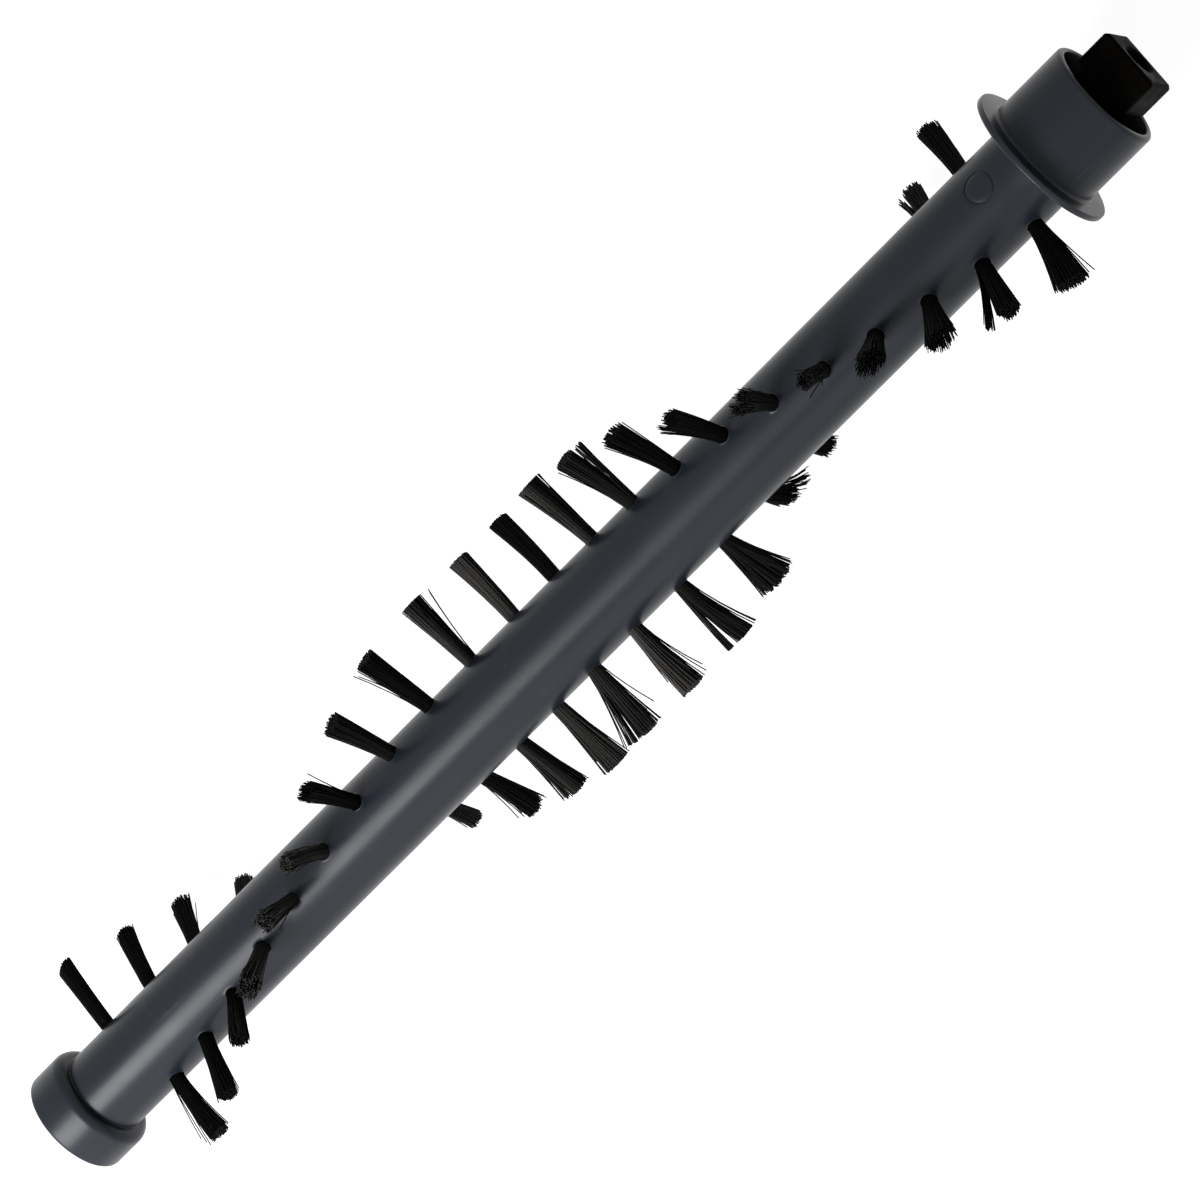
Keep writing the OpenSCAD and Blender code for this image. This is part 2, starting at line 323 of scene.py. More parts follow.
@dataclass(frozen=True)
class Nylon(Finish):
    """Stiff black filaments; the mesh's tone attribute turns some of them grey and brown, and where a tuft's grey keeps
    to the side that faces the key lamp, that grey is painted sheen.
    """

    colour: tuple[float, float, float, float] = (0.004, 0.004, 0.0045, 1.0)
    # grey of faded filaments, also used as painted sheen on the side of a tuft towards the key lamp
    faded_and_sheen: tuple[float, float, float, float] = (0.03, 0.028, 0.026, 1.0)

    def material(self) -> bpy.types.Material:
        """Returns the material, whose tone comes from the filaments.

        Returns:
            The finished material.
        """
        material, tree, shader, place = self.start()
        tone = tree.node("ShaderNodeAttribute", attribute_name=ATTRIBUTE_TONE).outputs["Fac"]
        smudge = tree.noise(place, 700.0, 3.0).outputs["Fac"]
        colour = tree.blend(tone, self.colour, self.faded_and_sheen)
        colour = tree.blend(tree.span(smudge, 0.62, 0.8, 0.0, 0.5), colour, linear(46, 40, 34))
        tree.feed(shader.inputs["Base Color"], colour)
        tree.feed(shader.inputs["Roughness"], tree.span(smudge, 0.3, 0.7, self.roughness - 0.08, self.roughness + 0.08))
        return material


@dataclass(frozen=True)
class BlockPlastic(Finish):
    """Dark moulded plastic of the end block, rubbed lighter in places."""

    colour: tuple[float, float, float, float] = (0.006, 0.005, 0.0045, 1.0)
    rubbed: tuple[float, float, float, float] = (0.02, 0.018, 0.016, 1.0)

    def material(self) -> bpy.types.Material:
        """Returns the material, built on object coordinates.

        Returns:
            The finished material.
        """
        material, tree, shader, place = self.start()
        cloud = tree.noise(place, 320.0, 4.0).outputs["Fac"]
        grain = tree.noise(place, 4200.0, 2.0).outputs["Fac"]
        scratched = tree.noise(tree.vector("MULTIPLY", place, (350.0, 2600.0, 2600.0)), 1.0, 4.0, 0.6)
        marks = tree.span(scratched.outputs["Fac"], 0.62, 0.75)
        colour = tree.blend(tree.span(cloud, 0.4, 0.68, 0.0, 0.6), self.colour, self.rubbed)
        colour = tree.blend(tree.math("MULTIPLY", marks, 0.35), colour, self.rubbed)
        tree.feed(shader.inputs["Base Color"], colour)
        tree.feed(shader.inputs["Roughness"],
                  tree.span(cloud, 0.3, 0.7, self.roughness - 0.07, self.roughness + 0.09))
        height = tree.math("SUBTRACT", tree.math("ADD", tree.math("MULTIPLY", grain, 0.5), cloud),
                           tree.math("MULTIPLY", marks, 0.3))
        bump = tree.node("ShaderNodeBump", {"Strength": 0.2, "Distance": 0.0001, "Height": height})
        tree.feed(shader.inputs["Normal"], bump.outputs[0])
        return material


@dataclass(frozen=True)
class Steel(Finish):
    """Steel turned about the spin axis: rings of fine tool marks, with a trace of grease."""

    colour: tuple[float, float, float, float] = (0.55, 0.55, 0.56, 1.0)
    marks: float = 0.3
    grease: float = 0.25

    def material(self) -> bpy.types.Material:
        """Returns the material, with its marks round the spin axis.

        Returns:
            The finished material.
        """
        material, tree, shader, place = self.start()
        along, across, up = tree.separate(place)
        radius = tree.math("SQRT", tree.math("ADD", tree.math("MULTIPLY", across, across),
                                             tree.math("MULTIPLY", up, up)))
        turned = tree.combine(tree.math("MULTIPLY", radius, 9000.0), tree.math("MULTIPLY", along, 9000.0), 0.0)
        rings = tree.noise(turned, 1.0, 3.0, 0.7).outputs["Fac"]
        stain = tree.span(tree.noise(place, 420.0, 4.0).outputs["Fac"], 0.45, 0.7)
        colour = tree.blend(tree.math("MULTIPLY", stain, self.grease), self.colour, linear(96, 84, 66))
        tree.feed(shader.inputs["Base Color"], colour)
        tree.feed(shader.inputs["Roughness"], tree.math(
            "ADD", tree.math("MULTIPLY", rings, 0.16), tree.math("MULTIPLY_ADD", stain, 0.18, self.roughness - 0.08)))
        bump = tree.node("ShaderNodeBump", {"Strength": self.marks, "Distance": 0.00002, "Height": rings})
        tree.feed(shader.inputs["Normal"], bump.outputs[0])
        return material


ATTRIBUTE_TONE = "tone"

BODY_PLASTIC = MouldedPlastic("moulded_grey_plastic", "roller_plastic", roughness=0.33, specular=0.2,
                              colour=linear(30, 34, 42), worn=linear(66, 69, 74), scuffs=0.5)
# the bristles' grey also serves as painted sheen on the lamp side of some tufts
BRISTLE_NYLON = Nylon("black_bristles", "bristle", roughness=0.5, specular=0.04, colour=linear(8, 8, 8),
                      faded_and_sheen=linear(88, 86, 84))
BLOCK_FINISH = BlockPlastic("dark_block_plastic", "block_plastic", roughness=0.4, specular=0.008,
                            colour=linear(11, 9, 7), rubbed=linear(22, 20, 17))
GROUND_STEEL = Steel("ground_bearing_steel", "bearing_steel", roughness=0.26, metallic=1.0,
                     colour=linear(188, 188, 190))
BALL_STEEL = Steel("polished_ball_steel", "ball_steel", roughness=0.1, metallic=1.0,
                   colour=linear(205, 205, 208), marks=0.02, grease=0.1)
CAGE_STEEL = Steel("pressed_cage_steel", "cage_steel", roughness=0.36, metallic=1.0,
                   colour=linear(170, 164, 154), marks=0.15)
SHIELD_STEEL = Steel("pressed_shield_steel", "shield_steel", roughness=0.3, metallic=1.0,
                     colour=linear(176, 177, 180), marks=0.2, grease=0.35)
ANCHOR_STEEL = Steel("anchor_strip_steel", "anchor_steel", roughness=0.34, metallic=1.0,
                     colour=linear(168, 168, 166), marks=0.1)


# ---------------------------------------------------------------------------------------------
# Meshes
# ---------------------------------------------------------------------------------------------


class MeshDraft:
    """Collects the vertices and faces of one piece, in metres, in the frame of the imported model."""

    def __init__(self) -> None:
        """Starts an empty draft."""
        self.points: list[tuple[float, float, float]] = []
        self.faces: list[tuple[int, ...]] = []

    def point(self, x: float, y: float, z: float) -> int:
        """Adds a point and returns its number."""
        self.points.append((x, y, z))
        return len(self.points) - 1

    def polar(self, x: float, radius: float, angle: float) -> int:
        """Adds a point given by its place along the spin axis, its radius and its angle in radians."""
        return self.point(x, radius * math.cos(angle), radius * math.sin(angle))

    def ring(self, x: float, radius: float, angles: Sequence[float]) -> list[int]:
        """Adds a ring of points round the spin axis and returns their numbers."""
        return [self.polar(x, radius, angle) for angle in angles]

    def bridge(self, first: Sequence[int], second: Sequence[int]) -> None:
        """Joins two rings of as many points with four-sided faces.

        Args:
            first: Ring that comes first along the profile.
            second: Ring that comes next.
        """
        count = len(first)
        for k in range(count):
            after = (k + 1) % count
            self.faces.append((first[k], first[after], second[after], second[k]))

    def fan(self, centre: int, ring: Sequence[int], outward: bool) -> None:
        """Joins a ring to a point on the axis.

        Args:
            centre: Number of the point in the middle.
            ring: Numbers of the ring's points.
            outward: True where the profile leaves the axis, False where it comes back to it.
        """
        count = len(ring)
        for k in range(count):
            after = (k + 1) % count
            face = (centre, ring[after], ring[k])
            self.faces.append(face if outward else tuple(reversed(face)))

    def build(self, name: str, finish: bpy.types.Material, sharp_degrees: float = 32.0) -> bpy.types.Object:
        """Turns the draft into an object at the origin, smooth with its edges kept crisp.

        Args:
            name: The piece's name.
            finish: Its material.
            sharp_degrees: Edges that turn further than this stay sharp.

        Returns:
            The new object, linked to the scene.
        """
        mesh = bpy.data.meshes.new(name)
        mesh.from_pydata(self.points, [], self.faces)
        mesh.validate()
        mesh.materials.append(finish)
        mesh.shade_smooth()
        mesh.set_sharp_from_angle(angle=math.radians(sharp_degrees))
        piece = bpy.data.objects.new(name, mesh)
        bpy.context.scene.collection.objects.link(piece)
        return piece


def arc(centre: Point, radius: float, start: float, end: float, steps: int) -> list[Point]:
    """Returns points of an arc in the plane of a turned profile.

    Args:
        centre: Place along the axis and radius of the arc's centre.
        radius: The arc's radius.
        start: Start angle in degrees, 0 along the axis and 90 away from it.
        end: End angle in degrees.
        steps: Number of steps.

    Returns:
        The arc's points, both ends included.
    """
    angles = [math.radians(start + (end - start) * k / steps) for k in range(steps + 1)]
    return [(centre[0] + radius * math.cos(a), centre[1] + radius * math.sin(a)) for a in angles]


def reach(node: str) -> tuple[float, float]:
    """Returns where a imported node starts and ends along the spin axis, in millimetres."""
    low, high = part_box(node)
    return low.x / MM, high.x / MM


def even_angles(count: int, start: float = 0.0) -> list[float]:
    """Returns evenly spaced angles in radians, the first at start."""
    return [start + TURN * k / count for k in range(count)]


def turned_loop(draft: MeshDraft, profile: Iterable[Point], angles: Sequence[float]) -> None:
    """Adds a closed ring-shaped solid whose profile, in millimetres, doesn't touch the axis.

    Args:
        draft: The draft to add to.
        profile: Place along the axis and radius of each corner, outer side first, along +X.
        angles: Angles of the rings.
    """
    rings = [draft.ring(x * MM, r * MM, angles) for x, r in profile]
    for k, ring in enumerate(rings):
        draft.bridge(ring, rings[(k + 1) % len(rings)])


def settle(piece: bpy.types.Object, body: Body, replaced: Sequence[str] = ()) -> None:
    """Puts a finished piece on its body and reports it.

    Args:
        piece: The finished object.
        body: The body that it rides on.
        replaced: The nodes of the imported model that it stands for.
    """
    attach(piece, body.value)
    if replaced:
        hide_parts(*replaced)
    LOG.info("%s on %s, %d faces, for %d nodes", piece.name, body.value, len(piece.data.polygons), len(replaced))


# ---------------------------------------------------------------------------------------------
# The roller
# ---------------------------------------------------------------------------------------------


@dataclass(frozen=True)
class TuftPlan:
    """Where the tufts stand: two rows on opposite sides, each turning away from the middle as a V."""

    per_row: int = 22
    first: float = 15.5
    pitch: float = 10.25
    row_shift: float = 5.4
    row_lag: float = 1.0
    step_degrees: float = 16.2
    point_degrees: float = -15.3

    def along(self, row: Row, number: int) -> float:
        """Returns a tuft's place along the axis in millimetres."""
        return self.first + (number - 1) * self.pitch - (self.row_shift if row is Row.B else 0.0)

    def degrees(self, row: Row, number: int) -> float:
        """Returns a tuft's angle round the axis in degrees."""
        point = (self.per_row + 1) / 2 + (self.row_lag if row is Row.B else 0.0)
        return self.point_degrees + self.step_degrees * abs(number - point) + row.value

    def names(self, row: Row) -> list[str]:
        """Returns the names of a row's nodes."""
        return [f"tuft_{row.letter}{number:02d}" for number in range(1, self.per_row + 1)]


@dataclass(frozen=True)
class Window:
    """A stretch of the tube's grid that is left open for a round feature, in millimetres and radians."""

    along: float
    angle: float
    span: tuple[float, float]
    half: int
    rows: int


@dataclass(frozen=True)
class Loop:
    """One ring of points about a round feature: on the tube's surface raised by rise, or at a floor's height."""

    radius: float
    rise: float = 0.0
    floor: float | None = None
    share: float = 1.0


@dataclass(frozen=True)
class RollerBody:
    """The moulded roller: two cups, the tube with its blind holes, the flange and the drum."""

    plan: TuftPlan = TuftPlan()
    segments: int = 200
    tube_r: float = 8.0
    cup_r: float = 10.3
    cup_bore_r: float = 9.1
    flange_r: float = 13.7
    seat_r: float = 6.51
    relief_r: float = 5.37
    pin_room_r: float = 3.2
    left_rim: float = reach("roller_body")[0]
    right_rim: float = reach("roller_body")[1]
    left_cup_len: float = 8.3
    left_cup_depth: float = 4.8
    drum_len: float = 14.4
    right_cup_depth: float = 9.6
    flange_t: float = 1.2
    bearing_w: float = 4.0
    relief_depth: float = 1.0
    pin_room_depth: float = 5.0
    rim_r: float = 0.7
    inner_rim_r: float = 0.25
    shoulder_r: float = 1.95
    flange_front_r: float = 0.45
    flange_back_r: float = 0.2
    fillet_r: float = 0.6
    cup_fillet_r: float = 0.5
    hole_r: float = 1.4
    hole_floor_r: float = 2.0
    hole_lip: float = 0.07
    patch_half: int = 9
    patch_rows: int = 10
    mark_x: float = 229.4
    mark_degrees: float = 67.0
    mark_r: float = 2.6
    mark_line: float = 0.35
    mark_depth: float = 0.12
    mark_half: int = 13
    mark_rows: int = 24

    @property
    def tube_x(self) -> float:
        """Where the tube starts."""
        return self.left_rim + self.left_cup_len

    @property
    def drum_x(self) -> float:
        """Where the drum starts."""
        return self.right_rim - self.drum_len

    @property
    def angles(self) -> list[float]:
        """The angles of the rings, set so that every tuft stands on one of them."""
        return even_angles(self.segments, math.radians(self.plan.point_degrees + 180.0 / self.segments))

    def left_profile(self) -> list[Point]:
        """Returns the profile from the floor of the left hollow to the start of the tube."""
        floor = self.left_rim + self.left_cup_depth
        seat_end = floor + self.bearing_w
        relief = seat_end + self.relief_depth
        return [
            (seat_end + self.pin_room_depth, self.pin_room_r), (relief, self.pin_room_r),
            (relief, self.relief_r), (seat_end, self.relief_r), (seat_end, self.seat_r),
            (floor + 0.2, self.seat_r), (floor, self.seat_r + 0.2),
            *arc((floor - self.cup_fillet_r, self.cup_bore_r - self.cup_fillet_r), self.cup_fillet_r, 0, 90, 5),
            *arc((self.left_rim + self.inner_rim_r, self.cup_bore_r + self.inner_rim_r), self.inner_rim_r, 270, 180, 3),
            *arc((self.left_rim + self.rim_r, self.cup_r - self.rim_r), self.rim_r, 180, 90, 7),
            *arc((self.tube_x - self.shoulder_r, self.cup_r - self.shoulder_r), self.shoulder_r, 90, 0, 9),
            (self.tube_x, self.tube_r + 0.12), (self.tube_x + 0.1, self.tube_r),
        ]

    def right_profile(self) -> list[Point]:
        """Returns the profile from the foot of the flange to the floor of the right hollow."""
        front, back, foot = self.flange_front_r, self.flange_back_r, self.fillet_r
        seat, bore = self.right_rim - self.right_cup_depth, self.cup_bore_r
        flange_x = self.drum_x - self.flange_t
        return [
            *arc((flange_x - foot, self.tube_r + foot), foot, 270, 360, 6),
            *arc((flange_x + front, self.flange_r - front), front, 180, 90, 5),
            *arc((self.drum_x - back, self.flange_r - back), back, 90, 0, 5),
            *arc((self.drum_x + foot, self.cup_r + foot), foot, 180, 270, 6),
            *arc((self.right_rim - self.rim_r, self.cup_r - self.rim_r), self.rim_r, 90, 0, 7),
            *arc((self.right_rim - self.inner_rim_r, bore + self.inner_rim_r), self.inner_rim_r, 360, 270, 3),
            *arc((seat + self.cup_fillet_r, bore - self.cup_fillet_r), self.cup_fillet_r, 90, 180, 5),
            (seat, self.seat_r + 0.2), (seat - 0.2, self.seat_r),
            (seat - self.bearing_w, self.seat_r), (seat - self.bearing_w, self.relief_r),
            (seat - self.bearing_w - self.relief_depth, self.relief_r),
        ]

    def windows(self) -> list[Window]:
        """Returns the windows that the holes and the round mark are set into, in order along the tube."""
        step = TURN / self.segments
        patch = self.patch_half * step * self.tube_r
        found = []
        for row in Row:
            for number in range(1, self.plan.per_row + 1):
                along, angle = self.plan.along(row, number), math.radians(self.plan.degrees(row, number))
                found.append(Window(along, angle, (along - patch, along + patch), self.patch_half, self.patch_rows))
        found.sort(key=lambda window: window.along)
        ends = (found[-2].span[0], found[-1].span[1])
        found.append(Window(self.mark_x, math.radians(self.mark_degrees), ends, self.mark_half, self.mark_rows))
        return found

    def lathe(self, draft: MeshDraft, stations: Sequence[float], windows: Sequence[Window]) -> list[list[int]]:
        """Adds the tube as a grid of lengthwise faces, left open at the windows.

        Args:
            draft: The draft to add to.
            stations: Places of the grid's rings along the axis in millimetres.
            windows: The windows; each starts and ends at a station.

        Returns:
            The border of each window, in order round it.
        """
        count = self.segments
        rings = [draft.ring(x * MM, self.tube_r * MM, self.angles) for x in stations]
        open_cells: set[tuple[int, int]] = set()
        side_points: dict[tuple[int, int], list[int]] = {}
        borders = []
        for window in windows:
            first, last = (min(range(len(stations)), key=lambda k, goal=goal: abs(stations[k] - goal))
                           for goal in window.span)
            middle = round((window.angle - self.angles[0]) / (TURN / count))
            low, high = middle - window.half, middle + window.half
            open_cells |= {(gap, k % count) for gap in range(first, last) for k in range(low, high)}
            sides = []
            for column in (low % count, high % count):
                side = [rings[first][column]]
                for gap in range(first, last):
                    x0, x1 = stations[gap], stations[gap + 1]
                    cuts = max(1, round(window.rows * (x1 - x0) / (window.span[1] - window.span[0])))
                    inner = [draft.polar((x0 + (x1 - x0) * j / cuts) * MM, self.tube_r * MM, self.angles[column])
                             for j in range(1, cuts)]
                    side_points[gap, column] = inner
                    side += [*inner, rings[gap + 1][column]]
                sides.append(side)
            near = [rings[first][k % count] for k in range(low, high)]
            far = [rings[last][k % count] for k in range(high, low, -1)]
            borders.append(near + sides[1][:-1] + far + sides[0][:0:-1])
        for gap in range(len(stations) - 1):
            for k in range(count):
                if (gap, k) not in open_cells:
                    after = (k + 1) % count
                    draft.faces.append((rings[gap][k], rings[gap][after], *side_points.get((gap, after), []),
                                        rings[gap + 1][after], rings[gap + 1][k],
                                        *reversed(side_points.get((gap, k), []))))
        return [rings[0], rings[-1], *borders]

    def inset(self, draft: MeshDraft, window: Window, border: list[int], loops: Sequence[Loop]) -> list[int]:
        """Joins a window's border to a row of round loops about its centre.

        Args:
            draft: The draft to add to.
            window: The window.
            border: Its border, in order.
            loops: The loops, from the border inwards.

        Returns:
            The last loop.
        """
        out = Vector((0, math.cos(window.angle), math.sin(window.angle)))
        side = Vector((0, -math.sin(window.angle), math.cos(window.angle)))
        spots = []
        for k in border:
            place = Vector(draft.points[k]) / MM
            around = self.tube_r * math.asin(max(-1.0, min(1.0, place.dot(side) / self.tube_r)))
            spots.append((place.x - window.along, around))
        ring = border
        for loop in loops:
            made = []
            for x, around in spots:
                turn = math.atan2(around, x)
                rx = x + loop.share * (loop.radius * math.cos(turn) - x)
                rs = around + loop.share * (loop.radius * math.sin(turn) - around)
                rs = self.tube_r * math.sin(rs / self.tube_r) if loop.share < 1 else rs
                height = math.sqrt(self.tube_r ** 2 - rs ** 2) + loop.rise if loop.floor is None else loop.floor
                spot = Vector((window.along + rx, 0, 0)) + out * height + side * rs
                made.append(draft.point(*(spot * MM)))
            draft.bridge(ring, made)
            ring = made
        return ring

    def build(self) -> bpy.types.Object:
        """Builds the whole body as one closed mesh.

        Returns:
            The finished piece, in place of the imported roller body.
        """
        draft = MeshDraft()
        left = [draft.ring(x * MM, r * MM, self.angles) for x, r in self.left_profile()]
        right = [draft.ring(x * MM, r * MM, self.angles) for x, r in self.right_profile()]
        draft.fan(draft.point(self.left_profile()[0][0] * MM, 0, 0), left[0], outward=True)
        draft.fan(draft.point(self.right_profile()[-1][0] * MM, 0, 0), right[-1], outward=False)
        windows = self.windows()
        stations = sorted(x for window in windows[:-1] for x in window.span)
        first, last, *borders = self.lathe(draft, stations, windows)
        for run in ([*left, first], [last, *right]):
            for one, other in zip(run, run[1:]):
                draft.bridge(one, other)
        hole, lip = self.hole_r, self.hole_lip
        hole_loops = [Loop(hole + 0.34, share=0.75), Loop(hole + 0.2), Loop(hole + 0.1, rise=lip),
                      Loop(hole + 0.04, rise=0.8 * lip), Loop(hole, rise=-0.08), Loop(hole, floor=self.hole_floor_r)]
        mark, line, deep = self.mark_r, self.mark_line / 2, -self.mark_depth
        mark_loops = [Loop(mark + line + 0.1, share=0.8), Loop(mark + line + 0.04), Loop(mark + line, rise=-0.02),
                      Loop(mark + 0.8 * line, rise=deep), Loop(mark - 0.8 * line, rise=deep),
                      Loop(mark - line, rise=-0.02), Loop(mark - line - 0.04), Loop(0.66 * mark), Loop(0.33 * mark)]
        for window, border in zip(windows[:-1], borders):
            draft.faces.append(tuple(self.inset(draft, window, border, hole_loops)))
        centre = draft.polar(self.mark_x * MM, self.tube_r * MM, windows[-1].angle)
        draft.fan(centre, self.inset(draft, windows[-1], borders[-1], mark_loops)[::-1], outward=True)
        piece = draft.build("roller_body_fine", BODY_PLASTIC.material())
        settle(piece, Body.ROLLER, ["roller_body"])
        return piece


# ---------------------------------------------------------------------------------------------
# The bristles
# ---------------------------------------------------------------------------------------------


@dataclass(frozen=True)
class TuftHabit:
    """How one tuft has grown out of shape.

    Attributes:
        along: How far the tip leans along the axis, in millimetres.
        round: How far the tip leans round the axis, in millimetres.
        flare: The tip's width as a share of the root's.
        short: How much shorter than the others it is, in millimetres.
        fray: How loose its filaments are, 0 to 1.
        grey: How far its filaments have lost their black, 0 to 1: partly faded filaments, partly painted sheen on the
            lamp side, as set by painted_sheen_side.
        painted_sheen_side: Which side of it is grey: -1 towards the left cup, 0 all of it, 1 towards the flange; grey
            kept to the side towards the left cup, where the key lamp stands, is painted sheen.
        fan: How far its outer filaments stand off at both sides, in millimetres.
        split: How far a part of it is parted towards one side, in millimetres.
        slant: How much higher its cut end is towards the flange, in millimetres.
    """

    along: float = 0.0
    round: float = 0.0
    flare: float = 1.55
    short: float = 0.0
    fray: float = 0.1
    grey: float = 0.0
    painted_sheen_side: float = 0.0
    fan: float = 0.5
    split: float = 0.0
    slant: float = 0.0


class Habit(Enum):
    """Names of the attributes that carry a tuft's habit to its filaments."""

    AIM = "aim"
    ROUND = "round"
    LEAN = "lean"
    WEAR = "wear"
    FORM = "form"
    PAINTED_SHEEN_SIDE = "painted_sheen_side"
    STATION = "station"
    SEED = "seed"


@dataclass(frozen=True)
class BristleRow:
    """One row of tufts, grown by Geometry Nodes: each tuft is a bundle of separate filaments."""

    row: Row
    plan: TuftPlan = TuftPlan()
    habits: dict[int, TuftHabit] = field(default_factory=dict)
    filaments: int = 195
    filament_r: float = 0.11
    filament_points: int = 6
    root_r: float = 1.28
    foot: float = 2.1
    surface: float = 7.7
    tip: float = 21.95
    uneven: float = 0.11
    seed: int = 3

    def stands(self) -> bpy.types.Object:
        """Makes the mesh of points that the tree grows the tufts from.

        Returns:
            An object with one point on the axis for each tuft, and its habit as attributes.
        """
        numbers = range(1, self.plan.per_row + 1)
        places = [(self.plan.along(self.row, n) * MM, 0.0, 0.0) for n in numbers]
        mesh = bpy.data.meshes.new(f"stands_{self.row.letter}")
        mesh.from_pydata(places, [], [])
        angles = [math.radians(self.plan.degrees(self.row, n)) for n in numbers]
        picked = [self.habits.get(n, self.usual(n)) for n in numbers]
        values = {
            Habit.AIM: [(0.0, math.cos(a), math.sin(a)) for a in angles],
            Habit.ROUND: [(0.0, -math.sin(a), math.cos(a)) for a in angles],
            Habit.LEAN: [(h.along * MM, h.round * MM, h.flare) for h in picked],
            Habit.WEAR: [(h.short * MM, h.fray, h.grey) for h in picked],
            Habit.FORM: [(h.fan * MM, h.split * MM, h.slant * MM) for h in picked],
        }
        for habit, vectors in values.items():
            layer = mesh.attributes.new(habit.value, "FLOAT_VECTOR", "POINT")
            layer.data.foreach_set("vector", [c for v in vectors for c in v])
        for habit, numbers_ in ((Habit.STATION, [p[0] for p in places]),
                                (Habit.PAINTED_SHEEN_SIDE, [h.painted_sheen_side for h in picked]),
                                (Habit.SEED, [float(self.seed * 31 + n * 7) for n in numbers])):
            layer = mesh.attributes.new(habit.value, "FLOAT", "POINT")
            layer.data.foreach_set("value", numbers_)
        holder = bpy.data.objects.new(f"stands_{self.row.letter}", mesh)
        bpy.context.scene.collection.objects.link(holder)
        return holder

    def usual(self, number: int) -> TuftHabit:
        """Returns the habit of a tuft that has none of its own: a small lean that differs from tuft to tuft."""
        wave = math.sin(2.1 * number + self.seed)
        other = math.cos(3.7 * number + 2 * self.seed)
        return TuftHabit(along=0.4 * wave, round=0.4 * other, flare=1.55 + 0.15 * other, fray=0.12 + 0.06 * wave,
                         fan=0.7 + 0.5 * other, slant=0.2 * wave)

    def grow(self, tree: bpy.types.NodeTree) -> None:
        """Fills the Geometry Nodes tree that turns the points into filaments.

        Args:
            tree: The empty tree, which gets its own named inputs.
        """
        make = TreeBuilder(tree)
        face = tree.interface
        face.new_socket("Geometry", in_out="INPUT", socket_type="NodeSocketGeometry")
        for name, kind in (("Filaments", "NodeSocketInt"), ("Filament radius", "NodeSocketFloat"),
                           ("Root radius", "NodeSocketFloat"), ("Foot", "NodeSocketFloat"),
                           ("Surface", "NodeSocketFloat"), ("Tip", "NodeSocketFloat"),
                           ("Uneven", "NodeSocketFloat"), ("Seed", "NodeSocketInt"),
                           ("Material", "NodeSocketMaterial")):
            face.new_socket(name, in_out="INPUT", socket_type=kind)
        face.new_socket("Geometry", in_out="OUTPUT", socket_type="NodeSocketGeometry")
        given = make.node("NodeGroupInput").outputs

        def named(name: str, kind: str) -> Socket:
            """Returns the field of a named attribute."""
            return make.node("GeometryNodeInputNamedAttribute", {"Name": name}, data_type=kind).outputs[0]

        def keep(geometry: Socket, name: str, value: Value, kind: str) -> Socket:
            """Stores a value on each point under a name."""
            return make.node("GeometryNodeStoreNamedAttribute", {"Geometry": geometry, "Name": name, "Value": value},
                             data_type=kind, domain="POINT").outputs[0]

        def chance(low: tuple, high: tuple, offset: int) -> Socket:
            """Returns a random vector for each point, from the tree's fixed seed."""
            made = make.node("FunctionNodeRandomValue", data_type="FLOAT_VECTOR")
            make.feed(made.inputs[0], low)
            make.feed(made.inputs[1], high)
            make.feed(made.inputs["Seed"], make.math("ADD", given["Seed"], offset))
            return made.outputs[0]

        points = make.node("GeometryNodeMeshToPoints", {"Mesh": given["Geometry"]}).outputs[0]
        copies = make.node("GeometryNodeDuplicateElements", {"Geometry": points, "Amount": given["Filaments"]},
                           domain="POINT")
        points = keep(copies.outputs[0], "rank", copies.outputs[1], "FLOAT")
        points = keep(points, "luck", chance((0.0, 0.0, 0.0), (1.0, 1.0, 1.0), 1), "FLOAT_VECTOR")
        points = keep(points, "drift", chance((-1.0, -1.0, -1.0), (1.0, 1.0, 1.0), 2), "FLOAT_VECTOR")
        line = make.node("GeometryNodeResampleCurve", {
            "Curve": make.node("GeometryNodeCurvePrimitiveLine").outputs[0], "Count": self.filament_points}).outputs[0]
        strands = make.node("GeometryNodeInstanceOnPoints", {"Points": points, "Instance": line}).outputs[0]
        strands = make.node("GeometryNodeRealizeInstances", {"Geometry": strands}).outputs[0]

        rank, seed = named("rank", "FLOAT"), named(Habit.SEED.value, "FLOAT")
        luck = make.separate(named("luck", "FLOAT_VECTOR"))
        drift = make.separate(named("drift", "FLOAT_VECTOR"))
        lean = make.separate(named(Habit.LEAN.value, "FLOAT_VECTOR"))
        wear = make.separate(named(Habit.WEAR.value, "FLOAT_VECTOR"))
        form = make.separate(named(Habit.FORM.value, "FLOAT_VECTOR"))
        share = make.node("GeometryNodeSplineParameter").outputs["Factor"]
        rooted = 1 / (self.filament_points - 1)
        free = make.math("MAXIMUM", make.math("DIVIDE", make.math("SUBTRACT", share, rooted), 1 - rooted), 0.0)
        bend = make.math("POWER", free, 1.7)

        filled = make.math("DIVIDE", make.math("ADD", rank, 0.5), given["Filaments"])
        spot_r = make.math("MULTIPLY", given["Root radius"], make.math("SQRT", filled))
        spot_a = make.math("MULTIPLY_ADD", rank, 2.399963, seed)
        root_x = make.math("MULTIPLY", spot_r, make.math("COSINE", spot_a))
        root_s = make.math("MULTIPLY", spot_r, make.math("SINE", spot_a))

        cloud = make.noise(make.combine(root_x, root_s, make.math("MULTIPLY", seed, 0.013)), 900.0, 1.0)
        clump = make.separate(make.vector("SUBTRACT", cloud.outputs["Color"], (0.5, 0.5, 0.5)))
        gate = make.math("GREATER_THAN", luck[0], make.math("MULTIPLY_ADD", wear[1], -0.09, 0.9965))
        opened = make.math("MULTIPLY", make.math("SUBTRACT", lean[2], 1.0), make.math("POWER", free, 1.15))

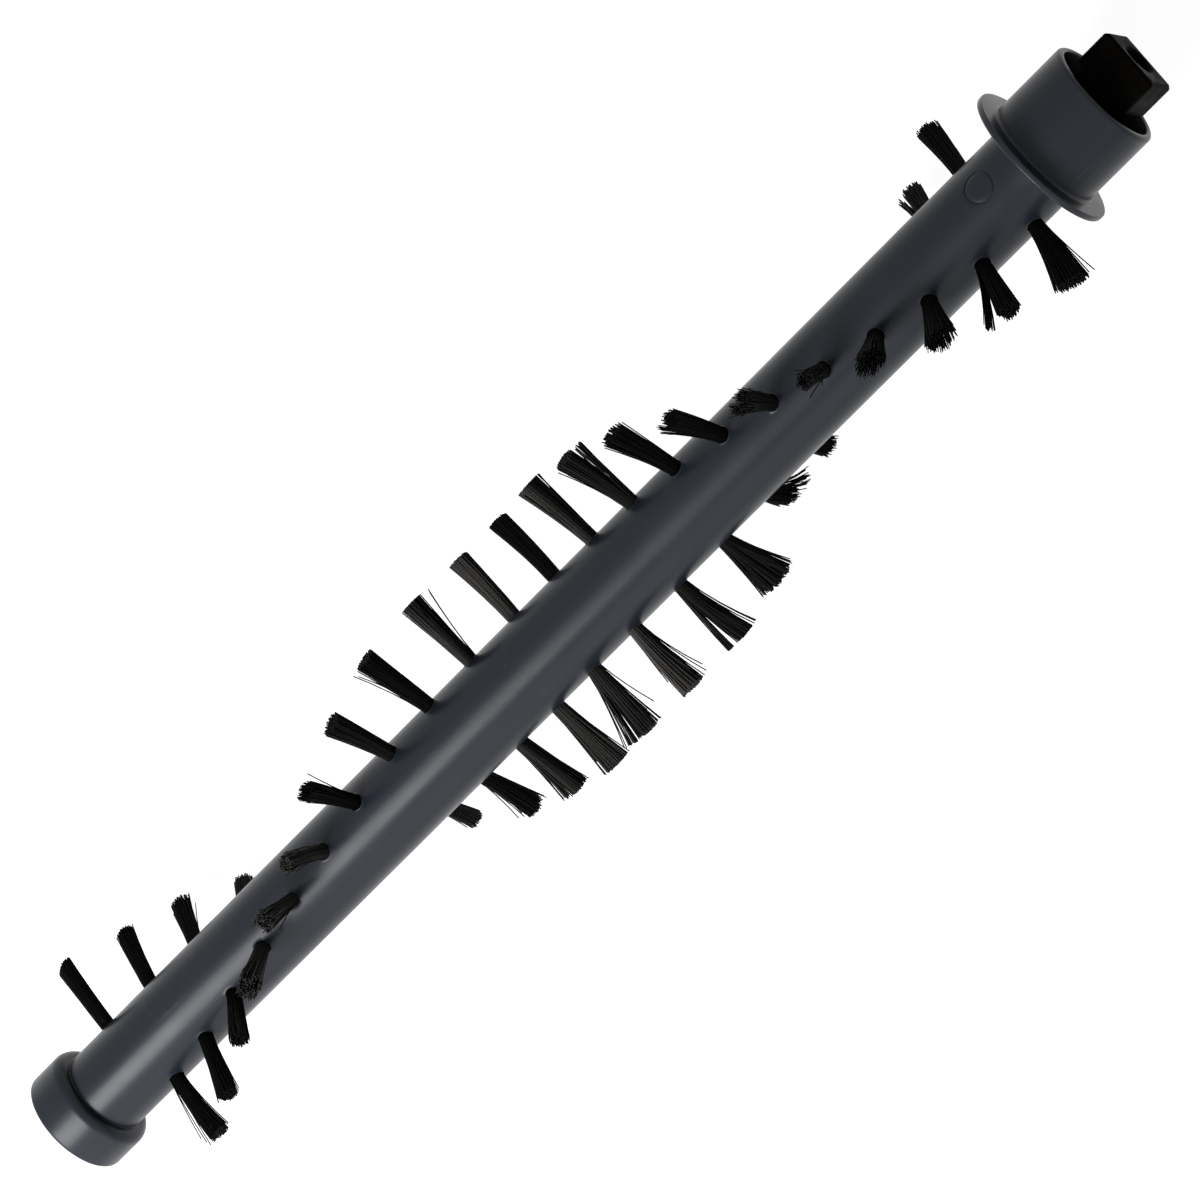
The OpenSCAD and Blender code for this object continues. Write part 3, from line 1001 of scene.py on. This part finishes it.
        def offset(root: Socket, tilt: Socket, lump: Socket, stray: Socket, share_open: float) -> Socket:
            """Returns how far a filament stands off the tuft's axis in one direction."""
            spread = make.math("MULTIPLY_ADD", opened, share_open, 1.0)
            straight = make.math("MULTIPLY_ADD", tilt, bend, make.math("MULTIPLY", root, spread))
            clumped = make.math("MULTIPLY", make.math("MULTIPLY", lump, bend),
                                make.math("MULTIPLY_ADD", wear[1], 0.0048, 0.0004))
            loose = make.math("MULTIPLY", make.math("MULTIPLY", stray, bend),
                              make.math("MULTIPLY_ADD", gate, 0.0017, 0.0002))
            return make.math("ADD", straight, make.math("ADD", clumped, loose))

        side = make.math("DIVIDE", root_x, given["Root radius"])
        outer = make.math("MAXIMUM", make.math("MULTIPLY_ADD", filled, 2.2, -1.2), 0.0)
        apart = make.math("MAXIMUM", make.math("MULTIPLY_ADD", luck[1], 2.3, -1.3), 0.0)
        sideways = make.math("MAXIMUM", make.math("MINIMUM", make.math("MULTIPLY", side, 1.5), 1.0), -1.0)
        fanned = make.math("MULTIPLY", make.math("MULTIPLY", form[0], sideways), make.math("MULTIPLY", outer, apart))
        parted = make.math("MULTIPLY", form[1], make.math(
            "GREATER_THAN", make.math("MULTIPLY", side, make.math("SIGN", form[1])), 0.66))
        loosely = make.math("MINIMUM", make.math("MULTIPLY", wear[1], 8.0), 1.0)
        parted = make.math("MULTIPLY", parted, make.math("MULTIPLY_ADD", make.math("MULTIPLY", loosely, luck[2]),
                                                         -0.65, 1.0))
        off_x = make.math("MULTIPLY_ADD", make.math("ADD", fanned, parted), make.math("POWER", free, 1.3),
                          offset(root_x, lean[0], clump[0], drift[0], 1.0))
        off_s = offset(root_s, lean[1], clump[1], drift[1], 0.55)
        broken = make.math("MULTIPLY", make.math("GREATER_THAN", luck[1], 0.975),
                           make.math("MULTIPLY", luck[2], 0.0035))
        top = make.math("SUBTRACT", make.math("SUBTRACT", given["Tip"], wear[0]),
                        make.math("MULTIPLY_ADD", luck[2], given["Uneven"], broken))
        top = make.math("MULTIPLY_ADD", form[2], side, top)
        top = make.math("SUBTRACT", top, make.math("MULTIPLY", make.math("MULTIPLY", luck[0], wear[1]), 0.0016))
        away = make.math("ADD", make.math("POWER", make.math("SUBTRACT", off_x, root_x), 2.0),
                         make.math("POWER", make.math("SUBTRACT", off_s, root_s), 2.0))
        low = make.math("MULTIPLY_ADD", make.math("SUBTRACT", given["Surface"], given["Foot"]),
                        make.math("MINIMUM", make.math("DIVIDE", share, rooted), 1.0), given["Foot"])
        height = make.math("MULTIPLY_ADD", make.math("SUBTRACT", top, given["Surface"]), free, low)
        height = make.math("SUBTRACT", height, make.math("MULTIPLY", away, 40.0))
        x = make.math("ADD", named(Habit.STATION.value, "FLOAT"), off_x)
        place = make.vector("ADD", make.combine(x, 0.0, 0.0), make.vector("ADD", make.vector(
            "SCALE", named(Habit.AIM.value, "FLOAT_VECTOR"), height), make.vector(
            "SCALE", named(Habit.ROUND.value, "FLOAT_VECTOR"), off_s)))
        strands = make.node("GeometryNodeSetPosition", {"Geometry": strands, "Position": place}).outputs[0]
        # painted sheen: a tuft's grey is kept to one side, towards the left cup where the key lamp stands
        painted_sheen_share = make.math("MULTIPLY_ADD", named(Habit.PAINTED_SHEEN_SIDE.value, "FLOAT"), make.math(
            "MULTIPLY", side, 1.6), make.math("MULTIPLY_ADD", make.math(
                "ABSOLUTE", named(Habit.PAINTED_SHEEN_SIDE.value, "FLOAT")), -0.6, 1.0))
        tone = make.math("MULTIPLY", wear[2], make.math("MULTIPLY_ADD", luck[2], 0.6, 0.5))
        tone = make.math("MULTIPLY", tone, make.math("MINIMUM", make.math("MAXIMUM", painted_sheen_share, 0.0), 1.0))
        strands = keep(strands, ATTRIBUTE_TONE, tone, "FLOAT")
        section = make.node("GeometryNodeCurvePrimitiveCircle", {"Resolution": 4, "Radius": given["Filament radius"]})
        mesh = make.node("GeometryNodeCurveToMesh", {"Curve": strands, "Profile Curve": section.outputs[0],
                                                     "Fill Caps": True}).outputs[0]
        mesh = make.node("GeometryNodeSetShadeSmooth", {"Geometry": mesh}).outputs[0]
        mesh = make.node("GeometryNodeRealizeInstances", {"Geometry": mesh}).outputs[0]
        mesh = make.node("GeometryNodeSetMaterial", {"Geometry": mesh, "Material": given["Material"]}).outputs[0]
        make.node("NodeGroupOutput", {"Geometry": mesh})

    def build(self, finish: bpy.types.Material) -> bpy.types.Object:
        """Grows the row and turns it into a plain mesh.

        Args:
            finish: The filaments' material.

        Returns:
            The finished piece, in place of the row's packed tufts.
        """
        holder = self.stands()
        tree = bpy.data.node_groups.new(f"bristles_{self.row.letter}", "GeometryNodeTree")
        self.grow(tree)
        modifier = holder.modifiers.new("bristles", "NODES")
        modifier.node_group = tree
        sizes = {"Filaments": self.filaments, "Filament radius": self.filament_r * MM,
                 "Root radius": self.root_r * MM, "Foot": self.foot * MM, "Surface": self.surface * MM,
                 "Tip": self.tip * MM, "Uneven": self.uneven * MM, "Seed": self.seed, "Material": finish}
        for item in tree.interface.items_tree:
            if item.in_out == "INPUT" and item.name in sizes:
                modifier[item.identifier] = sizes[item.name]
        grown = holder.evaluated_get(bpy.context.evaluated_depsgraph_get())
        mesh = bpy.data.meshes.new_from_object(grown)
        mesh.name = f"bristles_row_{self.row.letter}"
        holder.modifiers.clear()
        bpy.data.objects.remove(holder)
        for layer in [a.name for a in mesh.attributes if a.name in {h.value for h in Habit} | {"rank", "luck", "drift"}]:
            mesh.attributes.remove(mesh.attributes[layer])
        piece = bpy.data.objects.new(mesh.name, mesh)
        bpy.context.scene.collection.objects.link(piece)
        settle(piece, Body.ROLLER, self.plan.names(self.row))
        return piece


# ---------------------------------------------------------------------------------------------
# Bearings and end block
# ---------------------------------------------------------------------------------------------


@dataclass(frozen=True)
class BallBearing:
    """A shielded ball bearing, seen from its side: turned rings and a pressed shield on each side."""

    side: Side
    bore_r: float = 2.5
    outer_r: float = 6.5
    inner_shoulder_r: float = 3.63
    outer_shoulder_r: float = 5.37
    shield_r: float = 5.67
    half_w: float = 2.0
    chamfer: float = 0.2
    shield_inset: float = 0.15
    shield_t: float = 0.2
    shield_gap: float = 0.15
    segments: int = 96

    @property
    def middle(self) -> float:
        """The bearing's middle along the axis."""
        return sum(reach(f"{self.side.value}_inner_ring")) / 2

    @property
    def inner_body(self) -> Body:
        """The body that the inner ring belongs to."""
        return Body.LEFT_INNER if self.side is Side.LEFT else Body.END_AXLE

    def ring_piece(self, name: str, profile: Sequence[Point], body: Body, finish: Finish) -> bpy.types.Object:
        """Turns one closed profile into a piece that replaces its node.

        Args:
            name: The node's name without its side.
            profile: The profile in millimetres, from the bearing's middle.
            body: The body to ride on.
            finish: The piece's finish.

        Returns:
            The finished piece.
        """
        draft = MeshDraft()
        turned_loop(draft, [(self.middle + x, r) for x, r in profile], even_angles(self.segments))
        node = f"{self.side.value}_{name}"
        piece = draft.build(f"{node}_fine", finish.material())
        settle(piece, body, [node])
        return piece

    def outer_profile(self) -> list[Point]:
        """Returns the outer ring's profile, with the steps that hold the shields."""
        w, c, r = self.half_w, self.chamfer, self.outer_r
        step_r, step = self.shield_r + 0.01, self.shield_inset + self.shield_t
        race = arc((0.0, 4.5), 1.22, 45.6, 134.4, 8)
        return [(c - w, r), (w - c, r), (w - 0.06, r - 0.06), (w, r - c), (w, step_r + 0.05), (w - 0.05, step_r),
                (w - step, step_r), (w - step, self.outer_shoulder_r), *race, (step - w, self.outer_shoulder_r),
                (step - w, step_r), (0.05 - w, step_r), (-w, step_r + 0.05), (-w, r - c), (0.06 - w, r - 0.06)]

    def inner_profile(self) -> list[Point]:
        """Returns the inner ring's profile."""
        w, c, r, bore = self.half_w, self.chamfer, self.inner_shoulder_r, self.bore_r
        race = arc((0.0, 4.5), 1.22, 225.6, 314.4, 8)
        return [(0.06 - w, r), *race, (w - 0.06, r), (w, r - 0.06), (w, bore + c), (w - 0.06, bore + 0.06),
                (w - c, bore), (c - w, bore), (0.06 - w, bore + 0.06), (-w, bore + c), (-w, r - 0.06)]

    def shield_profile(self, way: int) -> list[Point]:
        """Returns a shield's profile: a crimped outer edge, a flat and a small inner step.

        Args:
            way: 1 for the shield on the +X side, -1 for the other.

        Returns:
            The profile in millimetres.
        """
        face = self.half_w - self.shield_inset
        back = face - self.shield_t
        inner = self.inner_shoulder_r + self.shield_gap
        shape = [(back, self.shield_r), (face - 0.06, self.shield_r), (face, self.shield_r - 0.08),
                 (face, self.shield_r - 0.3), (face - 0.07, self.shield_r - 0.42), (face - 0.07, inner + 0.42),
                 (face, inner + 0.3), (face, inner + 0.05), (face - 0.05, inner), (back, inner)]
        return shape if way > 0 else [(-x, r) for x, r in reversed(shape)]

    def build(self) -> None:
        """Builds the rings and shields, and dresses the balls and the cage."""
        self.ring_piece("outer_ring", self.outer_profile(), Body.ROLLER, GROUND_STEEL)
        self.ring_piece("inner_ring", self.inner_profile(), self.inner_body, GROUND_STEEL)
        self.ring_piece("shield_1", self.shield_profile(-1), Body.ROLLER, SHIELD_STEEL)
        self.ring_piece("shield_2", self.shield_profile(1), Body.ROLLER, SHIELD_STEEL)
        dress_node(f"{self.side.value}_balls", BALL_STEEL)
        dress_node(f"{self.side.value}_cage", CAGE_STEEL)


@dataclass(frozen=True)
class EndBlock:
    """The rectangular end block with its chamfered end, round recess, collar and hub."""

    hub_start: float = reach("end_block")[0]
    end: float = reach("end_block")[1]
    width: float = 11.8
    height: float = 8.8
    length: float = 6.7
    edge_r: float = 0.5
    chamfer: float = 0.5
    back_chamfer: float = 0.15
    turn_degrees: float = -12.5
    collar_r: float = 5.5
    collar_lap: float = 0.8
    hub_r: float = 3.3
    hub_len: float = 1.7
    bore_r: float = 2.5
    recess_r: float = 2.6
    recess_depth: float = 3.0
    recess_chamfer: float = 0.5
    corner_steps: int = 6
    long_steps: int = 14
    short_steps: int = 10

    def outline(self, inset: float) -> list[Point]:
        """Returns the block's rounded outline, drawn in by an inset.

        Args:
            inset: How far the outline is drawn in, in millimetres.

        Returns:
            Points across and up, in order round the block.
        """
        a, b = self.width / 2 - inset, self.height / 2 - inset
        r = max(self.edge_r - 0.6 * inset, 0.12)
        corners = [((a - r, b - r), 0), ((r - a, b - r), 90), ((r - a, r - b), 180), ((a - r, r - b), 270)]
        loop: list[Point] = []
        for k, ((cx, cy), start) in enumerate(corners):
            turn = [math.radians(start + 90 * j / self.corner_steps) for j in range(self.corner_steps + 1)]
            loop += [(cx + r * math.cos(t), cy + r * math.sin(t)) for t in turn]
            (nx, ny), after = corners[(k + 1) % 4]
            begin = loop[-1]
            goal = (nx + r * math.cos(math.radians(after)), ny + r * math.sin(math.radians(after)))
            steps = self.long_steps if k % 2 == 0 else self.short_steps
            loop += [(begin[0] + (goal[0] - begin[0]) * j / steps, begin[1] + (goal[1] - begin[1]) * j / steps)
                     for j in range(1, steps)]
        return loop

    def build(self) -> bpy.types.Object:
        """Builds the block and its collar as one piece.

        Returns:
            The finished piece.
        """
        draft = MeshDraft()
        turn = math.radians(self.turn_degrees)
        around = [math.atan2(y, x) for x, y in self.outline(0.0)]

        def flat_ring(x: float, inset: float) -> list[int]:
            """Adds a ring of the block's outline."""
            return [draft.point(x * MM, (p * math.cos(turn) - q * math.sin(turn)) * MM,
                                (p * math.sin(turn) + q * math.cos(turn)) * MM) for p, q in self.outline(inset)]

        def round_ring(x: float, radius: float) -> list[int]:
            """Adds a round ring whose points match the outline's."""
            return draft.ring(x * MM, radius * MM, [a + turn for a in around])

        c, back = self.chamfer, self.back_chamfer
        start, floor = self.end - self.length, self.end - self.recess_depth
        rings = [
            flat_ring(start, back), flat_ring(start + back, 0.0), flat_ring(self.end - c - 0.12, 0.0),
            flat_ring(self.end - c + 0.06, 0.09), flat_ring(self.end - 0.1, c - 0.08), flat_ring(self.end, c + 0.08),
            round_ring(self.end, self.recess_r + self.recess_chamfer + 0.06),
            round_ring(self.end - 0.06, self.recess_r + self.recess_chamfer - 0.06),
            round_ring(self.end - self.recess_chamfer, self.recess_r), round_ring(floor, self.recess_r),
            round_ring(floor, self.bore_r), round_ring(start, self.bore_r),
        ]
        for k, ring in enumerate(rings):
            draft.bridge(ring, rings[(k + 1) % len(rings)])
        hub_end, collar_end = self.hub_start + self.hub_len, start + self.collar_lap
        collar = [(self.hub_start, self.bore_r), (self.hub_start, self.hub_r - 0.1),
                  (self.hub_start + 0.1, self.hub_r), (hub_end, self.hub_r),
                  (hub_end, self.collar_r - 0.15), (hub_end + 0.15, self.collar_r),
                  (collar_end - 0.12, self.collar_r), (collar_end, self.collar_r - 0.12),
                  (collar_end, self.bore_r)]
        turned_loop(draft, collar, even_angles(96))
        piece = draft.build("end_block_fine", BLOCK_FINISH.material())
        settle(piece, Body.END_AXLE, ["end_block"])
        return piece


@dataclass(frozen=True)
class StubAxle:
    """The steel pin in the end block and the right bearing, with chamfered ends and a centre mark."""

    start: float = reach("stub_axle")[0]
    end: float = reach("stub_axle")[1]
    radius: float = 2.49
    chamfer: float = 0.3

    def build(self) -> bpy.types.Object:
        """Builds the pin.

        Returns:
            The finished piece.
        """
        draft = MeshDraft()
        angles = even_angles(96)
        profile = [(self.start, 0.6), (self.start, self.radius - self.chamfer),
                   (self.start + self.chamfer, self.radius), (self.end - self.chamfer, self.radius),
                   (self.end - 0.04, self.radius - self.chamfer), (self.end, self.radius - self.chamfer - 0.1),
                   (self.end, 0.55), (self.end - 0.45, 0.06)]
        rings = [draft.ring(x * MM, r * MM, angles) for x, r in profile]
        draft.fan(draft.point(self.start * MM, 0, 0), rings[0], outward=True)
        for first, second in zip(rings, rings[1:]):
            draft.bridge(first, second)
        draft.fan(draft.point((self.end - 0.47) * MM, 0, 0), rings[-1], outward=False)
        piece = draft.build("stub_axle_fine", GROUND_STEEL.material())
        settle(piece, Body.END_AXLE, ["stub_axle"])
        return piece


def dress_node(name: str, finish: Finish) -> None:
    """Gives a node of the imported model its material.

    Args:
        name: The node's name.
        finish: Its finish.
    """
    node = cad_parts[name]
    node.data.materials.clear()
    node.data.materials.append(finish.material())
    LOG.info("%s keeps its packed shape, with %s", name, finish.name)


# ---------------------------------------------------------------------------------------------
# Studio
# ---------------------------------------------------------------------------------------------


@dataclass(frozen=True)
class Lamp:
    """One soft lamp, placed from the middle of the roller."""

    name: str
    direction: tuple[float, float, float]
    distance: float
    size: tuple[float, float]
    watts: float

    def build(self, aim: Vector) -> None:
        """Adds the lamp, turned towards a point.

        Args:
            aim: The point that it shines on.
        """
        data = bpy.data.lights.new(self.name, "AREA")
        data.shape = "RECTANGLE"
        data.size, data.size_y = self.size
        data.energy = self.watts
        lamp = bpy.data.objects.new(self.name, data)
        way = Vector(self.direction).normalized()
        lamp.location = aim + way * self.distance
        lamp.rotation_mode = "QUATERNION"
        lamp.rotation_quaternion = way.to_track_quat("Z", "Y")
        bpy.context.scene.collection.objects.link(lamp)


@dataclass(frozen=True)
class Studio:
    """The pale floor, the lamps, the white surroundings and the camera."""

    aim: tuple[float, float, float] = (0.1314, 0.0, 0.0)
    distance: float = 0.9226
    tilt_degrees: float = 20.36
    round_degrees: float = 94.7
    roll_degrees: float = 44.96
    focal_px: float = 5535.0
    picture_px: float = 1200.0
    shift_px: float = 1.97
    sensor: float = 36.0
    floor_size: float = 4.0
    lamps: tuple[Lamp, ...] = (
        Lamp("key_lamp", (-0.62, -0.136, 0.773), 0.6, (0.3, 0.26), 4.5),
        Lamp("side_lamp", (-0.6, -0.693, 0.4), 0.6, (0.7, 0.5), 1.4),
    )

    def camera(self) -> None:
        """Adds the camera at the photograph's place, turn and width of view."""
        tilt, turn = math.radians(self.tilt_degrees), math.radians(self.round_degrees)
        back = Vector((math.sin(tilt), math.cos(tilt) * math.cos(turn), math.cos(tilt) * math.sin(turn)))
        along = Vector((1, 0, 0)) - back * back.x
        along.normalize()
        upright = back.cross(along)
        roll = math.radians(self.roll_degrees)
        right = along * math.cos(roll) - upright * math.sin(roll)
        up = along * math.sin(roll) + upright * math.cos(roll)
        data = bpy.data.cameras.new("camera")
        data.sensor_width = self.sensor
        data.lens = self.focal_px / self.picture_px * self.sensor
        data.shift_x = self.shift_px / self.picture_px
        data.clip_start, data.clip_end = 0.01, 50.0
        eye = bpy.data.objects.new("camera", data)
        place = Matrix((right, up, back)).transposed().to_4x4()
        place.translation = Vector(self.aim) + back * self.distance
        eye.matrix_world = place
        bpy.context.scene.collection.objects.link(eye)
        bpy.context.scene.camera = eye

    def floor(self) -> None:
        """Adds the pale floor that the roller lies on; to the camera it glows faintly, so that it is white."""
        size = self.floor_size / 2
        mesh = bpy.data.meshes.new("floor")
        mesh.from_pydata([(-size, -size, 0), (size, -size, 0), (size, size, 0), (-size, size, 0)], [], [(0, 1, 2, 3)])
        floor = bpy.data.objects.new("floor", mesh)
        floor.location = (self.aim[0], 0.0, CAD_BOX[0].z)
        material = bpy.data.materials.new("pale_floor")
        material.use_nodes = True
        tree = TreeBuilder(material.node_tree)
        shader = material.node_tree.nodes["Principled BSDF"]
        shader.inputs["Base Color"].default_value = (0.3, 0.3, 0.3, 1.0)
        shader.inputs["Roughness"].default_value = 0.9
        shader.inputs["Specular IOR Level"].default_value = 0.0
        path = tree.node("ShaderNodeLightPath")
        seen = tree.math("MAXIMUM", path.outputs["Is Camera Ray"], tree.math(
            "MAXIMUM", path.outputs["Is Glossy Ray"], path.outputs["Is Transmission Ray"]))
        glow = tree.node("ShaderNodeEmission", {"Color": (1.0, 1.0, 1.0, 1.0), "Strength": tree.math(
            "MULTIPLY", seen, 0.93)})
        both = tree.node("ShaderNodeAddShader", {0: shader.outputs[0], 1: glow.outputs[0]})
        tree.feed(material.node_tree.nodes["Material Output"].inputs["Surface"], both.outputs[0])
        mesh.materials.append(material)
        bpy.context.scene.collection.objects.link(floor)

    def world(self) -> None:
        """Sets the surroundings: white to the camera, a plain soft grey to the object."""
        world = bpy.data.worlds.new("studio")
        bpy.context.scene.world = world
        world.use_nodes = True
        tree = TreeBuilder(world.node_tree)
        sky = world.node_tree.nodes["Background"]
        path = tree.node("ShaderNodeLightPath")
        seen = tree.math("MAXIMUM", path.outputs["Is Camera Ray"], tree.math(
            "MAXIMUM", path.outputs["Is Glossy Ray"], path.outputs["Is Transmission Ray"]))
        strength = tree.math("MAXIMUM", seen, 0.1)
        tree.feed(sky.inputs["Strength"], strength)
        sky.inputs["Color"].default_value = (1.0, 1.0, 1.0, 1.0)

    def build(self) -> None:
        """Builds the whole studio."""
        bpy.context.scene.view_settings.view_transform = "Standard"
        self.world()
        self.floor()
        for lamp in self.lamps:
            lamp.build(Vector(self.aim))
        self.camera()


# ---------------------------------------------------------------------------------------------
# Putting it together
# ---------------------------------------------------------------------------------------------

# In both rows, a negative painted_sheen_side keeps a tuft's grey towards the key lamp: painted sheen.
ROW_A_HABITS = {
    1: TuftHabit(along=1.5, round=0.5, flare=1.45, fray=0.02, fan=2.0, slant=-0.1, short=0.3),
    2: TuftHabit(along=0.1, round=0.2, flare=1.35, fray=0.06, fan=1.2, slant=0.2, short=0.1),
    3: TuftHabit(along=0.4, flare=1.5, fray=0.12, fan=0.2, short=0.5, slant=0.3),
    4: TuftHabit(along=-0.6, round=0.3, flare=1.9, fray=0.45, grey=0.3),
    5: TuftHabit(along=-0.4, round=0.2, flare=1.5, fray=0.8, grey=0.4, short=0.6, fan=0.2),
    6: TuftHabit(along=-0.8, round=1.7, flare=0.95, fray=0.4, grey=0.4, short=0.9, fan=0.2),
    7: TuftHabit(along=-0.3, round=0.7, flare=1.4, fray=0.08, short=1.2, slant=-0.2, fan=0.2),
    8: TuftHabit(along=-0.3, round=0.6, flare=1.6, fray=0.03, short=0.4, slant=0.4, fan=0.3, grey=0.1),
    9: TuftHabit(along=-0.6, round=-0.4, flare=1.7, fray=0.0, slant=0.2, fan=0.0),
    10: TuftHabit(along=0.1, flare=1.45, fray=0.03, grey=0.5, painted_sheen_side=-0.6, fan=2.4, short=-0.04),
    11: TuftHabit(along=-0.9, flare=1.5, fray=0.02, grey=0.66, fan=0.4, short=-0.04),
    12: TuftHabit(along=-1.2, flare=1.45, fray=0.0, fan=0.0),
    13: TuftHabit(along=-0.7, flare=1.45, fray=0.02, grey=0.65, painted_sheen_side=-0.6, fan=2.0, short=-0.04),
    14: TuftHabit(along=-1.1, flare=1.7, fray=0.12, grey=0.16, fan=0.3, split=2.0),
    15: TuftHabit(along=-0.8, flare=1.6, fray=0.0, fan=1.0, slant=-0.1, short=0.1),
    16: TuftHabit(along=-0.6, round=0.9, flare=1.5, fray=0.07, split=-0.9, fan=0.2),
    17: TuftHabit(along=0.4, round=0.3, flare=1.4, fray=0.35, short=2.8, split=-1.2, grey=0.1),
    18: TuftHabit(along=-0.2, flare=1.3, fray=0.8, short=4.4, grey=0.1, fan=0.5),
    19: TuftHabit(along=0.1, round=-0.4, flare=2.3, fray=0.15, short=0.6, slant=-0.3, fan=0.3),
    20: TuftHabit(along=0.2, round=-0.6, flare=2.2, fray=0.15, short=1.0, slant=-0.2, fan=0.3),
    21: TuftHabit(along=0.2, round=-0.9, flare=1.75, fray=0.02, short=1.2, split=-2.6, fan=0.2),
    22: TuftHabit(along=-0.6, round=-0.6, flare=2.4, fray=0.04, short=1.1, slant=0.6, fan=0.0),
}
ROW_B_HABITS = {
    1: TuftHabit(along=0.5, flare=1.2, fray=0.0, short=0.6, slant=0.8, fan=0.0),
    2: TuftHabit(along=0.5, round=-0.6, flare=1.25, fray=0.08, short=1.3, fan=0.4, slant=0.2),
    3: TuftHabit(along=-0.3, round=-0.3, flare=1.2, fray=0.08, short=0.8, fan=0.4, slant=0.3),
    4: TuftHabit(along=-0.8, round=-1.0, flare=1.5, fray=0.0, short=0.7, fan=0.0),
    7: TuftHabit(round=1.5, flare=1.25, fray=0.03, short=1.2, fan=0.1),
    8: TuftHabit(along=-1.3, round=0.9, flare=1.3, fray=0.03, short=1.3, fan=0.4),
    9: TuftHabit(along=-0.6, flare=1.35, fray=0.02, fan=2.6),
    10: TuftHabit(along=-0.1, flare=1.5, fray=0.08, short=0.4, grey=0.5, painted_sheen_side=-0.6, fan=1.2, split=-1.2),
    11: TuftHabit(along=0.1, flare=1.8, fray=0.03, grey=0.42, fan=1.9),
    12: TuftHabit(along=0.2, flare=1.55, fray=0.1, grey=0.27, fan=2.4, split=-2.2),
    13: TuftHabit(along=1.1, flare=1.8, fray=0.03, grey=0.85, painted_sheen_side=-0.4, fan=2.0),
    14: TuftHabit(along=1.6, flare=1.65, fray=0.04, short=0.4, fan=1.8, split=-1.9, grey=0.1),
    15: TuftHabit(along=0.3, flare=2.6, fray=0.02, short=1.8, grey=0.12, fan=2.0),
    16: TuftHabit(along=1.6, round=0.4, flare=2.0, fray=0.3, short=8.5, fan=0.4, split=3.2, slant=0.9),
    17: TuftHabit(along=1.5, round=0.4, flare=1.5, fray=0.5, short=6.8, fan=0.3),
    18: TuftHabit(round=1.5, flare=1.4, fray=0.1, short=4.0, fan=0.2),
    20: TuftHabit(round=0.6, flare=1.4, fray=0.6),
    21: TuftHabit(along=-1.2, round=0.8, flare=1.45, fray=0.03, fan=0.2, split=-0.8, slant=0.4, short=-0.04),
    22: TuftHabit(along=-0.9, round=1.6, flare=1.45, fray=0.02, fan=1.0, slant=-0.1, short=-0.04),
}


def main() -> None:
    """Builds the studio and every piece in order."""
    logging.basicConfig(level=logging.INFO, format="%(name)s: %(message)s")
    Studio().build()
    RollerBody().build()
    nylon = BRISTLE_NYLON.material()
    BristleRow(Row.A, habits=ROW_A_HABITS, seed=3).build(nylon)
    BristleRow(Row.B, habits=ROW_B_HABITS, seed=8).build(nylon)
    BallBearing(Side.LEFT).build()
    BallBearing(Side.RIGHT).build()
    EndBlock().build()
    StubAxle().build()
    dress_node("tuft_anchors", ANCHOR_STEEL)


if __name__ == "__main__":
    main()
